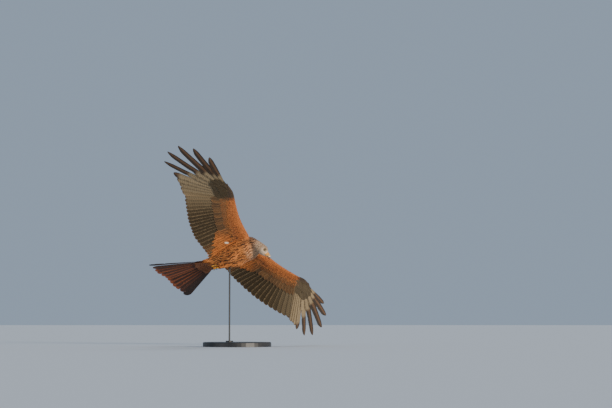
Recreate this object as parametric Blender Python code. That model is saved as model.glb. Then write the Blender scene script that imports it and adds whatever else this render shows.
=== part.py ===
"""Red kite gliding with its tail fanned, life size, held by a plain display stand.

The bird is modelled in its own frame: X forward, Y to its left, Z towards its back, with the
origin midway between the shoulders. Its meshes are then banked and lifted onto the stand as one.
The part's frame has +Z up and its origin at the middle of the underside of the stand's base.
"""

from math import acos, cos, pi, radians, sin

import bmesh
import bpy
from mathutils import Euler, Matrix, Vector

# Sizes are in metres and angles in degrees.
GAP = 0.0003

# How the bird is banked over the stand.
HEADING, PITCH, ROLL = -23.5, 20.3, -36.3
BIRD_PLACE = Vector((0.050, -0.020, 0.475))

# Bones and feathers of one wing, in life size for a wing chord of 0.49.
SHOULDER = Vector((0.012, 0.050, 0.015))
HUMERUS, ULNA = 0.120, 0.138
ARM_REACH = 0.2546
PRIMARY_ROOTS = [0.100, 0.094, 0.087, 0.078, 0.068, 0.057, 0.046, 0.035, 0.024, 0.012]
PRIMARY_LENGTHS = [0.250, 0.349, 0.405, 0.410, 0.379, 0.306, 0.278, 0.261, 0.250, 0.240]
SECONDARIES = 13
SECONDARY_LENGTH = 0.217
OUTER_SECONDARY_BONUS = 0.015
TERTIALS = 4
TERTIAL_SHORTENING = 0.003
LAST_TERTIAL_SHORTENING = 0.015
FINGERS = 6

# Angles of each wing: the arm and the hand by sweep forward and rise, then their twist about
# their own length, the turn of the innermost feathers, and the fan of primaries 10 to 5 and 1.
WING_ANGLES = {
    "left": dict(side=1, arm=(23.6, -10.0), hand=(1.9, 17.5), twist=(4.8, -38.0), inner=7.8,
                 fan=[7.6, 13.3, 20.5, 29.5, 37.0, 45.7, 55.0]),
    "right": dict(side=-1, arm=(17.5, 5.5), hand=(17.5, -12.4), twist=(0.0, -1.0), inner=3.7,
                  fan=[6.3, 13.5, 20.6, 29.2, 37.7, 43.8, 61.2]),
}

# How a wing is stacked: where its flesh starts and ends, and how high its coverts lie.
QUILL_START, GREATER_START, MEDIAN_START = 0.004, 0.006, 0.003
GREATER_OF_PRIMARY, GREATER_OF_SECONDARY, MEDIAN_OF_GREATER = 0.34, 0.46, 0.58
GREATER_LEVEL, MEDIAN_LEVEL = 0.0026, 0.0050
CUFF_AHEAD, HAND_CUFF = 0.013, 0.010
HAND_DEPTH, ARM_DEPTH = (0.032, 0.006), (0.038, 0.004)
HAND_THICK, ARM_THICK = (0.0055, 0.0020), (0.0075, 0.0065)

# Feather vanes.
VANE = 0.0006
LAYER = 0.0011
TIP_BEND = 0.05
TRAILING_DROOP = -0.05

# Tail: how it turns, rises and rolls against the body, and how far it fans to either side.
TAIL_ROOT = Vector((-0.186, 0.0, 0.004))
TAIL_TURN, TAIL_RISE, TAIL_ROLL = 0.5, 2.5, 10.0
TAIL_HALF_FAN = 28.9
TAIL_PAIRS = 6
TAIL_INNER, TAIL_OUTER = 0.284, 0.316
TAIL_ROOT_HALF_WIDTH, TAIL_ARCH = 0.017, 0.004
TAIL_CORE = [(0.014, 0.034, 0.0200), (0.032, 0.036, 0.0115), (0.055, 0.040, 0.0025)]
TAIL_COVERTS, TAIL_COVERT_SPACING = 4, 0.40
TAIL_COVERT_REACH, TAIL_COVERT_LEVELS = (0.012, 0.105), (0.0035, -0.0085)

# Head, in its own frame: X to the bill, Y to its left, Z to the crown.
HEAD_PLACE = Vector((0.0842, 0.0032, -0.0536))
HEAD_FORWARD = Vector((0.520, 0.468, -0.715))
HEAD_RIGHT = Vector((0.256, -0.867, -0.423))
EYE_RADIUS = 0.0066
EYE_PLACE = Vector((0.0105, 0.0178, 0.0040))
LID_TUBE, LID_HEIGHT = 0.0014, 0.0022
BROW_FROM, BROW_TO = Vector((-0.002, 0.0195, 0.0098)), Vector((0.0215, 0.0118, 0.0058))
BROW_RADII, BROW_ARCH = [0.0012, 0.0030, 0.0036, 0.0030, 0.0014], 0.0014

# Neck: how straight it leaves the torso and enters the head, below and along the nape.
NECK_STEPS, NECK_PULL = 6, 0.36

# Bill, in the head's frame. Cere and lower bill by place behind the bill's base, half width and
# height or depth; upper bill by its ridge, its edge and its half width, from base to tip.
MOUTH, MOUTH_LIP = -0.0088, 0.0002
CERE = [(0.0, 0.0100, 0.0070), (0.005, 0.0086, 0.0066), (0.0105, 0.0070, 0.0052)]
NOSTRIL_PLACE, NOSTRIL_SIZE = Vector((0.0070, 0.0072, -0.0010)), (0.0020, 0.0022, 0.0011)
BILL_RIDGE = [(0.0, 0.0049), (0.0040, 0.0043), (0.0080, 0.0024), (0.0115, -0.0010), (0.0138, -0.0058),
              (0.0146, -0.0110), (0.0140, -0.0160)]
BILL_EDGE = [(0.0, 0.0), (0.0035, 0.0), (0.0070, 0.0), (0.0090, -0.0008), (0.0100, -0.0026),
             (0.0112, -0.0050), (0.0132, -0.0076)]
BILL_WIDTH = [0.0067, 0.0062, 0.0054, 0.0045, 0.0033, 0.0018, 0.0005]
LOWER_BILL = [(0.0, 0.0092, 0.0052), (0.009, 0.0066, 0.0050), (0.0145, 0.0050, 0.0040),
              (0.0172, 0.0032, 0.0024)]

# Legs, folded back under the tail: knee end, ankle and toes' root, for the left side.
THIGH_LINE = [Vector((-0.030, 0.032, -0.042)), Vector((-0.075, 0.025, -0.044)),
              Vector((-0.120, 0.015, -0.0450))]
THIGH_RADII = [0.009, 0.0145, 0.0165, 0.0150, 0.0115, 0.0075]
TARSUS_END = Vector((-0.178, 0.0098, -0.0350))
TARSUS_RADII, ANKLE_GAP = [0.0046, 0.0038, 0.0050], 0.0015
TOES = [(-13, 0.019), (0, 0.024), (13, 0.019)]
TOE_RADII = [0.0026, 0.0030, 0.0026, 0.0016, 0.0003]
HIND_TOE_RADII = [0.0026, 0.0027, 0.0016, 0.0003]

# Stand.
BASE_RADIUS, BASE_HEIGHT, BASE_EDGE = 0.165, 0.022, 0.003
ROD_RADIUS, ROD_FLANGE, FLANGE_HEIGHT, FLANGE_EDGE = 0.004, 0.018, 0.006, 0.001
SOCKET_BELOW = 0.2
ROD_MEETS = Vector((-0.124, 0.037, -0.022))
ROD_DEPTH = 0.014


def clear_scene():
    for obj in list(bpy.data.objects):
        bpy.data.objects.remove(obj)


def material(name, colour, roughness):
    made = bpy.data.materials.new(name)
    made.use_nodes = True
    shader = made.node_tree.nodes["Principled BSDF"]
    shader.inputs["Base Color"].default_value = (*colour, 1)
    shader.inputs["Roughness"].default_value = roughness
    return made


def mesh_object(name, bm, finish=None, smooth=60):
    bmesh.ops.recalc_face_normals(bm, faces=bm.faces)
    mesh = bpy.data.meshes.new(name)
    bm.to_mesh(mesh)
    bm.free()
    mesh.shade_smooth()
    mesh.set_sharp_from_angle(angle=radians(smooth))
    obj = bpy.data.objects.new(name, mesh)
    KITE.objects.link(obj)
    if finish:
        mesh.materials.append(finish)
    return obj


def loft(bm, rings, ends=None):
    """A closed skin through rings that have the same number of points, fanned shut at its ends."""
    rows = [[bm.verts.new(point) for point in ring] for ring in rings]
    for row, following in zip(rows, rows[1:]):
        for k in range(len(row)):
            nxt = (k + 1) % len(row)
            bm.faces.new((row[k], row[nxt], following[nxt], following[k]))
    ends = ends or [sum(ring, Vector()) / len(ring) for ring in (rings[0], rings[-1])]
    for row, end in zip((rows[0], rows[-1]), ends):
        middle = bm.verts.new(end)
        for k in range(len(row)):
            bm.faces.new((row[k], row[(k + 1) % len(row)], middle))


def ellipse_ring(centre, across, up, wide, high, low, points):
    """A ring that is taller above its centre than below it, or the other way round."""
    ring = []
    for k in range(points):
        turn = 2 * pi * k / points
        lift = sin(turn) * (high if sin(turn) > 0 else low)
        ring.append(centre + across * (cos(turn) * wide) + up * lift)
    return ring


def smooth_between(keys, at):
    """The value at `at` on a smooth curve through (place, value) pairs in rising order."""
    if at <= keys[0][0]:
        return keys[0][1]
    for k in range(len(keys) - 1):
        (x0, y0), (x1, y1) = keys[k], keys[k + 1]
        if at <= x1:
            before = keys[max(k - 1, 0)]
            after = keys[min(k + 2, len(keys) - 1)]
            slope0 = (y1 - before[1]) / max(x1 - before[0], 1e-9)
            slope1 = (after[1] - y0) / max(after[0] - x0, 1e-9)
            span = x1 - x0
            t = (at - x0) / span
            return (
                y0 * (2 * t**3 - 3 * t**2 + 1)
                + slope0 * span * (t**3 - 2 * t**2 + t)
                + y1 * (3 * t**2 - 2 * t**3)
                + slope1 * span * (t**3 - t**2)
            )
    return keys[-1][1]


def evaluated(obj):
    """The object's mesh with its modifiers applied, as a new mesh."""
    bpy.context.view_layer.update()
    graph = bpy.context.evaluated_depsgraph_get()
    return bpy.data.meshes.new_from_object(obj.evaluated_get(graph))


def keep_largest(mesh):
    """Leaves only the largest closed surface of a mesh."""
    bm = bmesh.new()
    bm.from_mesh(mesh)
    bmesh.ops.triangulate(bm, faces=bm.faces)
    left = set(bm.faces)
    islands = []
    while left:
        front = [left.pop()]
        island = list(front)
        while front:
            face = front.pop()
            for edge in face.edges:
                for other in edge.link_faces:
                    if other in left:
                        left.remove(other)
                        front.append(other)
                        island.append(other)
        islands.append(island)
    islands.sort(key=lambda faces: sum(face.calc_area() for face in faces))
    scraps = [face for island in islands[:-1] for face in island]
    bmesh.ops.delete(bm, geom=scraps, context="FACES")
    bm.to_mesh(mesh)
    bm.free()
    return len(islands)


def bake_modifiers(obj):
    mesh = evaluated(obj)
    obj.modifiers.clear()
    obj.data = mesh
    pieces = keep_largest(mesh)
    mesh.shade_smooth()
    mesh.set_sharp_from_angle(angle=radians(40))
    return pieces


def fuse(core, pieces, solver="MANIFOLD"):
    """Joins closed pieces to a core by one Boolean union on a collection."""
    joined = bpy.data.collections.new(core.name + "_pieces")
    bpy.context.scene.collection.children.link(joined)
    for piece in pieces:
        for owner in list(piece.users_collection):
            owner.objects.unlink(piece)
        joined.objects.link(piece)
    union = core.modifiers.new("union", "BOOLEAN")
    union.operation = "UNION"
    union.operand_type = "COLLECTION"
    union.collection = joined
    union.solver = solver
    bake_modifiers(core)
    for piece in pieces:
        bpy.data.objects.remove(piece)
    bpy.data.collections.remove(joined)


def cut(obj, cutters, solver="MANIFOLD"):
    for cutter in cutters:
        difference = obj.modifiers.new("cut", "BOOLEAN")
        difference.operation = "DIFFERENCE"
        difference.object = cutter
        difference.solver = solver
    bake_modifiers(obj)


def mirrored(point, side):
    return Vector((point.x, point.y * side, point.z))


def as_cutter(obj):
    obj.hide_render = True
    obj.display_type = "WIRE"
    for owner in list(obj.users_collection):
        owner.objects.unlink(obj)
    CUTTERS.objects.link(obj)
    return obj


clear_scene()
KITE = bpy.data.collections.new("red_kite")
CUTTERS = bpy.data.collections.new("cutters")
for made in (KITE, CUTTERS):
    bpy.context.scene.collection.children.link(made)

RUFOUS = material("rufous_body_feathers", (0.42, 0.14, 0.05), 0.8)
GREY = material("pale_grey_head_feathers", (0.55, 0.49, 0.42), 0.8)
BARRED = material("barred_flight_feathers", (0.16, 0.11, 0.07), 0.6)
TAIL_BROWN = material("rufous_tail_feathers", (0.25, 0.09, 0.05), 0.6)
YELLOW = material("yellow_cere_and_feet", (0.85, 0.50, 0.06), 0.45)
HORN = material("dark_horn", (0.05, 0.045, 0.04), 0.3)
IRIS = material("pale_amber_eye", (0.70, 0.52, 0.22), 0.1)
STAND_BLACK = material("stand_satin_black", (0.03, 0.03, 0.032), 0.4)

# Torso: a smooth loft along X. Each row is the place along X, half width, height above and
# depth below the centreline, and the centreline's own height.
TORSO_ROWS = [
    (0.040, 0.0460, 0.0385, 0.0440, 0.0010),
    (0.022, 0.0550, 0.0430, 0.0540, 0.0),
    (0.000, 0.0595, 0.0440, 0.0590, 0.0),
    (-0.035, 0.0600, 0.0430, 0.0590, 0.0),
    (-0.075, 0.0560, 0.0400, 0.0550, 0.0010),
    (-0.115, 0.0500, 0.0340, 0.0470, 0.0030),
    (-0.150, 0.0430, 0.0270, 0.0380, 0.0050),
    (-0.180, 0.0350, 0.0190, 0.0290, 0.0060),
]
TORSO_POINTS = 20
AHEAD, LEFT, UP = Vector((1, 0, 0)), Vector((0, 1, 0)), Vector((0, 0, 1))


def torso_ring(x, grow=0.0, points=TORSO_POINTS):
    sizes = [smooth_between(sorted((row[0], row[k]) for row in TORSO_ROWS), x) for k in range(1, 5)]
    wide, high, low, level = sizes
    centre = Vector((x, 0, level))
    return ellipse_ring(centre, LEFT, UP, wide + grow, high + grow, low + grow, points)


def torso_mesh(grow=0.0, ahead=0.0, behind=0.0):
    bm = bmesh.new()
    front, back = TORSO_ROWS[0][0] + ahead, TORSO_ROWS[-1][0] - behind
    steps = 14
    loft(bm, [torso_ring(front + (back - front) * k / steps, grow) for k in range(steps + 1)])
    return bm


torso = mesh_object("torso", torso_mesh(), RUFOUS)
torso_room = as_cutter(mesh_object("torso_room", torso_mesh(GAP, GAP, GAP)))


# Head. Its rings run from the nape to the bill: place along X, half width, half height and the
# ring's own height.
HEAD_ROWS = [
    (-0.0200, 0.0258, 0.0264, -0.0008),
    (-0.0140, 0.0262, 0.0268, -0.0004),
    (-0.0080, 0.0258, 0.0262, 0.0),
    (0.0040, 0.0230, 0.0242, -0.0004),
    (0.0130, 0.0190, 0.0205, -0.0018),
    (0.0200, 0.0150, 0.0162, -0.0034),
    (0.0265, 0.0110, 0.0118, -0.0046),
]
HEAD_FORWARD.normalize()
HEAD_RIGHT -= HEAD_FORWARD * HEAD_RIGHT.dot(HEAD_FORWARD)
HEAD_RIGHT.normalize()
HEAD_UP = HEAD_RIGHT.cross(HEAD_FORWARD)
HEAD = Matrix.Translation(HEAD_PLACE) @ Matrix((HEAD_FORWARD, -HEAD_RIGHT, HEAD_UP)).transposed().to_4x4()


def head_ring(x, points=16):
    rows = [smooth_between([(row[0], row[k]) for row in HEAD_ROWS], x) for k in range(1, 4)]
    wide, tall, level = rows
    return ellipse_ring(Vector((x, 0, level)), LEFT, UP, wide, tall, tall, points)


def ball(name, centre, sizes, segments=12, rings=8):
    bm = bmesh.new()
    place = Matrix.Translation(centre) @ Matrix.Diagonal((*sizes, 1))
    bmesh.ops.create_uvsphere(bm, u_segments=segments, v_segments=rings, radius=1, matrix=place)
    return mesh_object(name, bm)


def tube(name, points, radii, sides=8, finish=None):
    """A closed tube along points, thick as radii say; a radius near nothing makes a point."""
    bm = bmesh.new()
    rings = []
    for k, (point, radius) in enumerate(zip(points, radii)):
        along = (points[min(k + 1, len(points) - 1)] - points[max(k - 1, 0)]).normalized()
        across = along.cross(UP if abs(along.z) < 0.9 else LEFT).normalized()
        other = across.cross(along)
        rings.append(ellipse_ring(point, across, other, radius, radius, radius, sides))
    loft(bm, rings)
    return mesh_object(name, bm, finish)


def lid_ring(name, side):
    """The rim of the lids round one eye."""
    bm = bmesh.new()
    steps, sides = 12, 5
    centre = mirrored(EYE_PLACE, side)
    rows = []
    for k in range(steps):
        turn = 2 * pi * k / steps
        out = AHEAD * cos(turn) + UP * sin(turn) * 0.86
        middle = centre + out * (EYE_RADIUS * 0.94) + LEFT * side * LID_HEIGHT
        across, up = out * LID_TUBE, LEFT * side * LID_TUBE
        turns = [2 * pi * j / sides for j in range(sides)]
        rows.append([bm.verts.new(middle + across * cos(t) + up * sin(t)) for t in turns])
    for k in range(steps):
        for j in range(sides):
            nxt, far = (j + 1) % sides, rows[(k + 1) % steps]
            bm.faces.new((rows[k][j], rows[k][nxt], far[nxt], far[j]))
    return mesh_object(name, bm)


def make_head():
    bm = bmesh.new()
    back, front, steps = HEAD_ROWS[0][0], HEAD_ROWS[-1][0], 9
    loft(bm, [head_ring(back + (front - back) * k / steps) for k in range(steps + 1)])
    head = mesh_object("head", bm, GREY)
    extras = []
    for side in (1, -1):
        line = [BROW_FROM.lerp(BROW_TO, k / 4) + UP * BROW_ARCH * sin(pi * k / 4) for k in range(5)]
        extras.append(tube("brow", [mirrored(point, side) for point in line], BROW_RADII, 6))
        extras.append(lid_ring("lid", side))
    fuse(head, extras)
    sockets = []
    for side in (1, -1):
        sockets.append(as_cutter(ball("eye_socket", mirrored(EYE_PLACE, side), (EYE_RADIUS + GAP,) * 3)))
    cut(head, sockets)
    for side, name in ((1, "eye_left"), (-1, "eye_right")):
        eye = ball(name, mirrored(EYE_PLACE, side), (EYE_RADIUS,) * 3)
        eye.data.materials.append(IRIS)
        eye.data.transform(HEAD)
    head.data.transform(HEAD)
    return head


def make_bill():
    """Cere, hooked upper bill and lower bill, each its own piece, with the mouth line between."""
    start = HEAD_ROWS[-1][0] + GAP
    bm = bmesh.new()
    loft(bm, [half_round(start + x, wide, top, MOUTH + MOUTH_LIP) for x, wide, top in CERE])
    cere = mesh_object("cere", bm, YELLOW)
    nostrils = []
    for side in (1, -1):
        place = AHEAD * start + mirrored(NOSTRIL_PLACE, side)
        nostrils.append(as_cutter(ball("nostril", place, NOSTRIL_SIZE, 8, 6)))
    cut(cere, nostrils)
    bill_start = start + CERE[-1][0] + GAP
    bm = bmesh.new()
    rings = []
    for high, low, w in zip(BILL_RIDGE, BILL_EDGE, BILL_WIDTH):
        top = Vector((bill_start + high[0], 0, high[1]))
        bottom = Vector((bill_start + low[0], 0, MOUTH + low[1]))
        rings.append([bottom.lerp(top, sin(pi * k / 9)) + LEFT * (w * cos(pi * k / 9)) for k in range(10)])
    loft(bm, rings)
    upper = mesh_object("upper_bill", bm, HORN)
    under = MOUTH - GAP
    bm = bmesh.new()
    loft(bm, [half_round(start + x, wide, under - depth, under) for x, wide, depth in LOWER_BILL])
    lower = mesh_object("lower_bill", bm, HORN)
    for piece in (cere, upper, lower):
        piece.data.transform(HEAD)


def half_round(x, wide, arch, flat, points=10):
    """A ring with a flat side at height `flat`, arched over to height `arch`."""
    ring = []
    for k in range(points):
        turn = pi * k / (points - 1)
        ring.append(Vector((x, wide * cos(turn), flat + (arch - flat) * sin(turn))))
    return ring


def make_neck():
    """Runs in a bend from the torso's front ring to the head's back ring, hollow at the nape."""
    front = torso_ring(TORSO_ROWS[0][0])
    nape = [HEAD @ point for point in head_ring(HEAD_ROWS[0][0], TORSO_POINTS)]
    away = (HEAD.to_3x3() @ AHEAD).normalized()
    rings = []
    for j in range(NECK_STEPS + 1):
        t = j / NECK_STEPS
        ring = []
        for k, (a, b) in enumerate(zip(front, nape)):
            start, end = a + AHEAD * GAP, b - away * GAP
            behind = max(sin(2 * pi * k / TORSO_POINTS), 0)
            pull = NECK_PULL * (1 - behind) * (end - start).length
            first, last = start + AHEAD * pull, end - away * pull
            ring.append(
                start * (1 - t) ** 3
                + first * 3 * t * (1 - t) ** 2
                + last * 3 * t * t * (1 - t)
                + end * t**3
            )
        rings.append(ring)
    bm = bmesh.new()
    loft(bm, rings)
    return mesh_object("neck", bm, RUFOUS)


make_head()
make_bill()
make_neck()


# Wings. A quill is one flight feather's line: where its root is, which way it points, the
# wing's upward normal there, its length and how far its tip bends up.
def lean(side, sweep, rise):
    return Vector((sin(sweep) * cos(rise), side * cos(sweep) * cos(rise), sin(rise)))


def chord_back(span, twist):
    """The direction across a wing towards its trailing edge, turned about the span by twist."""
    normal = (UP - span * UP.dot(span)).normalized()
    back = normal.cross(span)
    if back.x > 0:
        back = -back
    back.rotate(Matrix.Rotation(twist, 3, span))
    return back


def upward(a, b):
    normal = a.cross(b).normalized()
    return normal if normal.z > 0 else -normal


class Quill:
    def __init__(self, root, along, normal, length, bend):
        self.root, self.along, self.length, self.bend = root, along, length, bend
        self.normal = (normal - along * normal.dot(along)).normalized()

    def at(self, s):
        """The point at distance s from the root, bending more towards the tip."""
        lift = self.bend * s * s / self.length
        return self.root + self.along * s + self.normal * lift


def wing_plan(angles):
    """Quills from primary 10 inwards to the last tertial, with the bones' joints."""
    side = angles["side"]
    shoulder = Vector((SHOULDER.x, side * SHOULDER.y, SHOULDER.z))
    arm = lean(side, *(radians(a) for a in angles["arm"]))
    hand = lean(side, *(radians(a) for a in angles["hand"]))
    arm_twist, hand_twist = (radians(a) for a in angles["twist"])
    wrist = shoulder + arm * ARM_REACH
    at_elbow = acos((HUMERUS**2 + ARM_REACH**2 - ULNA**2) / (2 * HUMERUS * ARM_REACH))
    back = chord_back(arm, arm_twist)
    elbow = shoulder + (arm * cos(at_elbow) + back * sin(at_elbow)) * HUMERUS
    arm_normal = upward(back, arm)
    hand_back = chord_back(hand, hand_twist)
    hand_normal = upward(hand_back, hand)
    quills = []
    fan = angles["fan"]
    for k in range(len(PRIMARY_ROOTS)):
        if k < FINGERS:
            turn = radians(fan[k])
        else:
            inner = (k - FINGERS + 1) / (len(PRIMARY_ROOTS) - FINGERS)
            turn = radians(fan[-2] + (fan[-1] - fan[-2]) * inner)
        along = hand * cos(turn) + hand_back * sin(turn)
        bend = TIP_BEND if k < 5 else TIP_BEND * (1 - (k - 4) / 5)
        root = wrist + hand * PRIMARY_ROOTS[k]
        quills.append(Quill(root, along, hand_normal, PRIMARY_LENGTHS[k], bend))
    outer = quills[-1].along
    turn = radians(angles["inner"])
    inner = Vector((-cos(turn), side * sin(turn), 0))
    inner = (inner - arm_normal * inner.dot(arm_normal)).normalized()
    for k in range(SECONDARIES):
        t = k / (SECONDARIES - 1)
        along = outer.lerp(inner, t).normalized()
        normal = hand_normal.lerp(arm_normal, t)
        root = wrist.lerp(elbow, 0.03 + 0.97 * t)
        length = SECONDARY_LENGTH + OUTER_SECONDARY_BONUS * (1 - t) ** 2
        quills.append(Quill(root, along, normal, length, TRAILING_DROOP))
    for k in range(TERTIALS):
        root = elbow.lerp(shoulder, (k + 1) / (TERTIALS + 1))
        length = SECONDARY_LENGTH - TERTIAL_SHORTENING * (k + 1)
        quills.append(Quill(root, inner, arm_normal, length, TRAILING_DROOP))
    return dict(quills=quills, shoulder=shoulder, elbow=elbow, wrist=wrist, hand=hand,
                hand_back=hand_back, hand_normal=hand_normal, arm_normal=arm_normal, inner=inner)


def surface(quills, place, s):
    """The point of the wing's middle surface at a place between quills, s from their roots."""
    low = min(max(int(place), 0), len(quills) - 2)
    t = place - low
    return quills[low].at(s).lerp(quills[low + 1].at(s), t)


def surface_normal(quills, place):
    low = min(max(int(place), 0), len(quills) - 2)
    t = min(max(place - low, 0), 1)
    return quills[low].normal.lerp(quills[low + 1].normal, t).normalized()


def plate(name, top, bottom):
    """A thin closed plate between two grids of points, split into triangles alike on both faces."""
    bm = bmesh.new()
    top, bottom = ([[bm.verts.new(point) for point in line] for line in sheet] for sheet in (top, bottom))
    last, cells = len(top) - 1, len(top[0]) - 1
    for j in range(last):
        for i in range(cells):
            for sheet in (top, bottom):
                a, b, c, d = sheet[j][i], sheet[j][i + 1], sheet[j + 1][i + 1], sheet[j + 1][i]
                bm.faces.new((a, b, c))
                bm.faces.new((a, c, d))
        for i in (0, cells):
            bm.faces.new((top[j][i], top[j + 1][i], bottom[j + 1][i], bottom[j][i]))
    for j in (0, last):
        for i in range(cells):
            bm.faces.new((top[j][i], top[j][i + 1], bottom[j][i + 1], bottom[j][i]))
    bmesh.ops.triangulate(bm, faces=[face for face in bm.faces if len(face.verts) > 3])
    return mesh_object(name, bm)


def vane(name, quills, k, reach, rows, levels, limits, skip=1, cells=1):
    """One feather as a thin plate on the wing's surface.

    rows are (share of its length, lead, trail): its width towards the leading side and towards the
    trailing side, each as (share of the spacing of its tier, most in metres). levels are its
    heights at root and tip. skip is how many quills apart the tier's feathers lie. Each vane
    climbs one LAYER for each feather of its tier that it passes on its leading side, so
    neighbours lie one LAYER apart.
    """
    start, end = reach
    before, after = max(k - 1, 0), min(k + 1, len(quills) - 1)
    sheets = []
    for half in (VANE / 2, -VANE / 2):
        sheet = []
        for share, lead, trail in rows:
            s = start + (end - start) * share
            pitch = (quills[before].at(s) - quills[after].at(s)).length / (after - before)
            level = levels[0] + (levels[1] - levels[0]) * share
            ahead = k - min(lead[0] * skip, lead[1] / pitch)
            behind = k + min(trail[0] * skip, trail[1] / pitch)
            line = []
            for place in (ahead, k, behind) if cells == 2 else (ahead, behind):
                place = min(max(place, limits[0]), limits[1])
                height = level + LAYER / skip * (k - place) + half
                line.append(surface(quills, place, s) + surface_normal(quills, place) * height)
            sheet.append(line)
        sheets.append(sheet)
    return plate(name, *sheets)


def airfoil(line, normal, up, down, edge=0.0016):
    """A closed section through a line of points from front to trailing edge, thickest at its third."""
    shape = [0.30, 0.85, 1.0, 0.62, 0.0]
    ring = [point + normal * max(up * thick, edge) for point, thick in zip(line, shape)]
    back = [point - normal * max(down * thick, edge) for point, thick in zip(line, shape)]
    return ring + back[::-1]


# Widths along a feather: (share of length, towards its leading side, towards its trailing side).
FLIGHT_ROWS = [
    (0.0, (0.25, 0.003), (0.30, 0.004)),
    (0.35, (0.41, 0.009), (0.94, 0.030)),
    (0.93, (0.42, 0.010), (0.94, 0.026)),
    (1.0, (0.25, 0.004), (0.40, 0.008)),
]
FINGER_ROWS = [
    (0.0, (0.25, 0.003), (0.30, 0.004)),
    (0.15, (0.40, 0.009), (0.94, 0.028)),
    (0.42, (0.42, 0.011), (0.94, 0.032)),
    (0.56, (0.42, 0.009), (0.94, 0.020)),
    (0.86, (0.42, 0.008), (0.94, 0.016)),
    (1.0, (0.42, 0.003), (0.94, 0.005)),
]
LAST_TERTIAL_ROWS = [
    (0.0, (0.25, 0.003), (0.90, 0.020)),
    (0.3, (0.42, 0.010), (1.70, 0.045)),
    (0.9, (0.42, 0.010), (1.70, 0.040)),
    (1.0, (0.25, 0.004), (0.90, 0.020)),
]
COVERT_ROWS = [
    (0.0, (0.30, 0.004), (0.40, 0.006)),
    (0.5, (0.42, 0.010), (0.94, 0.022)),
    (1.0, (0.25, 0.006), (0.50, 0.010)),
]
MEDIAN_ROWS = [(s, (a[0], a[1] * 2), (b[0], b[1] * 2)) for s, a, b in COVERT_ROWS]


def flight_vanes(wing, first, last, limits, label):
    pieces = []
    for k in range(first, last):
        quill = wing["quills"][k]
        rows, end = FLIGHT_ROWS, quill.length
        if k < FINGERS - 1:
            rows = FINGER_ROWS
        if k == len(wing["quills"]) - 1:
            rows, end = LAST_TERTIAL_ROWS, quill.length - LAST_TERTIAL_SHORTENING
        reach = (QUILL_START, end)
        pieces.append(vane(f"{label}_{k}", wing["quills"], k, reach, rows, (0.0, 0.0), limits, cells=2))
    return pieces


def covert_vanes(wing, first, last, limits, label):
    """Greater and median coverts over and under the flight feathers' roots."""
    pieces = []
    quills = wing["quills"]
    for k in range(first, last):
        share = GREATER_OF_PRIMARY if k < len(PRIMARY_ROOTS) else GREATER_OF_SECONDARY
        length = quills[k].length * share
        for side in (1, -1):
            level = side * GREATER_LEVEL
            reach = (GREATER_START, length)
            pieces.append(vane(f"{label}_greater", quills, k, reach, COVERT_ROWS, (level, level), limits))
            if k % 2 == first % 2 and k > 1:
                level = side * MEDIAN_LEVEL
                reach = (MEDIAN_START, length * MEDIAN_OF_GREATER)
                pieces.append(vane(f"{label}_median", quills, k, reach, MEDIAN_ROWS,
                                   (level * 0.8, level), limits, 2))
    return pieces


def front_edge(wing, place):
    """The wing's leading edge: along the hand, then from the wrist to the shoulder."""
    border = len(PRIMARY_ROOTS) - 0.5
    wrist_front = wing["wrist"] + AHEAD * CUFF_AHEAD + wing["hand"] * 0.004
    if place <= border:
        share = 1 - place / border
        tip_front = wing["wrist"] + wing["hand"] * (PRIMARY_ROOTS[0] + 0.006)
        tip_front -= wing["hand_back"] * HAND_CUFF
        return wrist_front.lerp(tip_front, share) - wing["hand_back"] * 0.005 * sin(pi * share)
    share = (place - border) / (len(wing["quills"]) + 0.2 - border)
    lead = wing["wrist"].lerp(wing["shoulder"], share)
    ahead = CUFF_AHEAD * (1 - 0.85 * sin(pi * min(share, 1)) + share)
    return lead + AHEAD * ahead


def core_section(wing, place):
    """The flesh of the wing across one place between quills."""
    quills = wing["quills"]
    border = len(PRIMARY_ROOTS) - 0.5
    if place <= border:
        share = place / border
        depth = HAND_DEPTH[0] + HAND_DEPTH[1] * share
        thick = HAND_THICK[0] + HAND_THICK[1] * share
    else:
        share = (place - border) / (len(quills) - border)
        depth = ARM_DEPTH[0] + ARM_DEPTH[1] * share
        thick = ARM_THICK[0] + ARM_THICK[1] * share**2
    front, root = front_edge(wing, place), surface(quills, place, 0.0)
    behind = [surface(quills, place, depth * 0.55), surface(quills, place, depth)]
    line = [front, front.lerp(root, 0.4), root, *behind]
    return airfoil(line, surface_normal(quills, place), thick, thick * 0.9)


def wing_node(name, wing, first, last, places, finish):
    """One node of a wing: its flesh with every feather that roots in it."""
    quills = wing["quills"]
    bm = bmesh.new()
    ends = [surface(quills, place, 0.0) for place in (places[0], places[-1])]
    loft(bm, [core_section(wing, place) for place in places], ends)
    node = mesh_object(name, bm, finish)
    edge = 0.03
    outer_limit = first - 0.5 + edge if first else -1.0
    inner_limit = last - 0.5 - edge if last < len(quills) else last + 1.0
    limits = (outer_limit, inner_limit)
    pieces = flight_vanes(wing, first, last, limits, name) + covert_vanes(wing, first, last, limits, name)
    fuse(node, pieces)
    return node


def make_wing(label):
    wing = wing_plan(WING_ANGLES[label])
    primaries = len(PRIMARY_ROOTS)
    arm_starts = primaries + SECONDARIES
    total = arm_starts + TERTIALS
    edge = 0.025
    hand = wing_node(f"wing_{label}_hand", wing, 0, primaries,
                     [-0.5, 1.0, 2.5, 4.5, 7.0, primaries - 0.5 - edge], BARRED)
    places = [primaries - 0.5 + edge, 12.0, 15.5, 19.0, 21.3, 22.0, arm_starts - 0.5 - edge]
    forearm = wing_node(f"wing_{label}_forearm", wing, primaries, arm_starts, places, BARRED)
    arm = wing_node(f"wing_{label}_arm", wing, arm_starts, total,
                    [arm_starts - 0.5 + edge, 23.0, 24.0, 25.0, 26.0, 27.5], BARRED)
    cut(arm, [torso_room])
    return hand, forearm, arm


for label in WING_ANGLES:
    make_wing(label)

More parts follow.
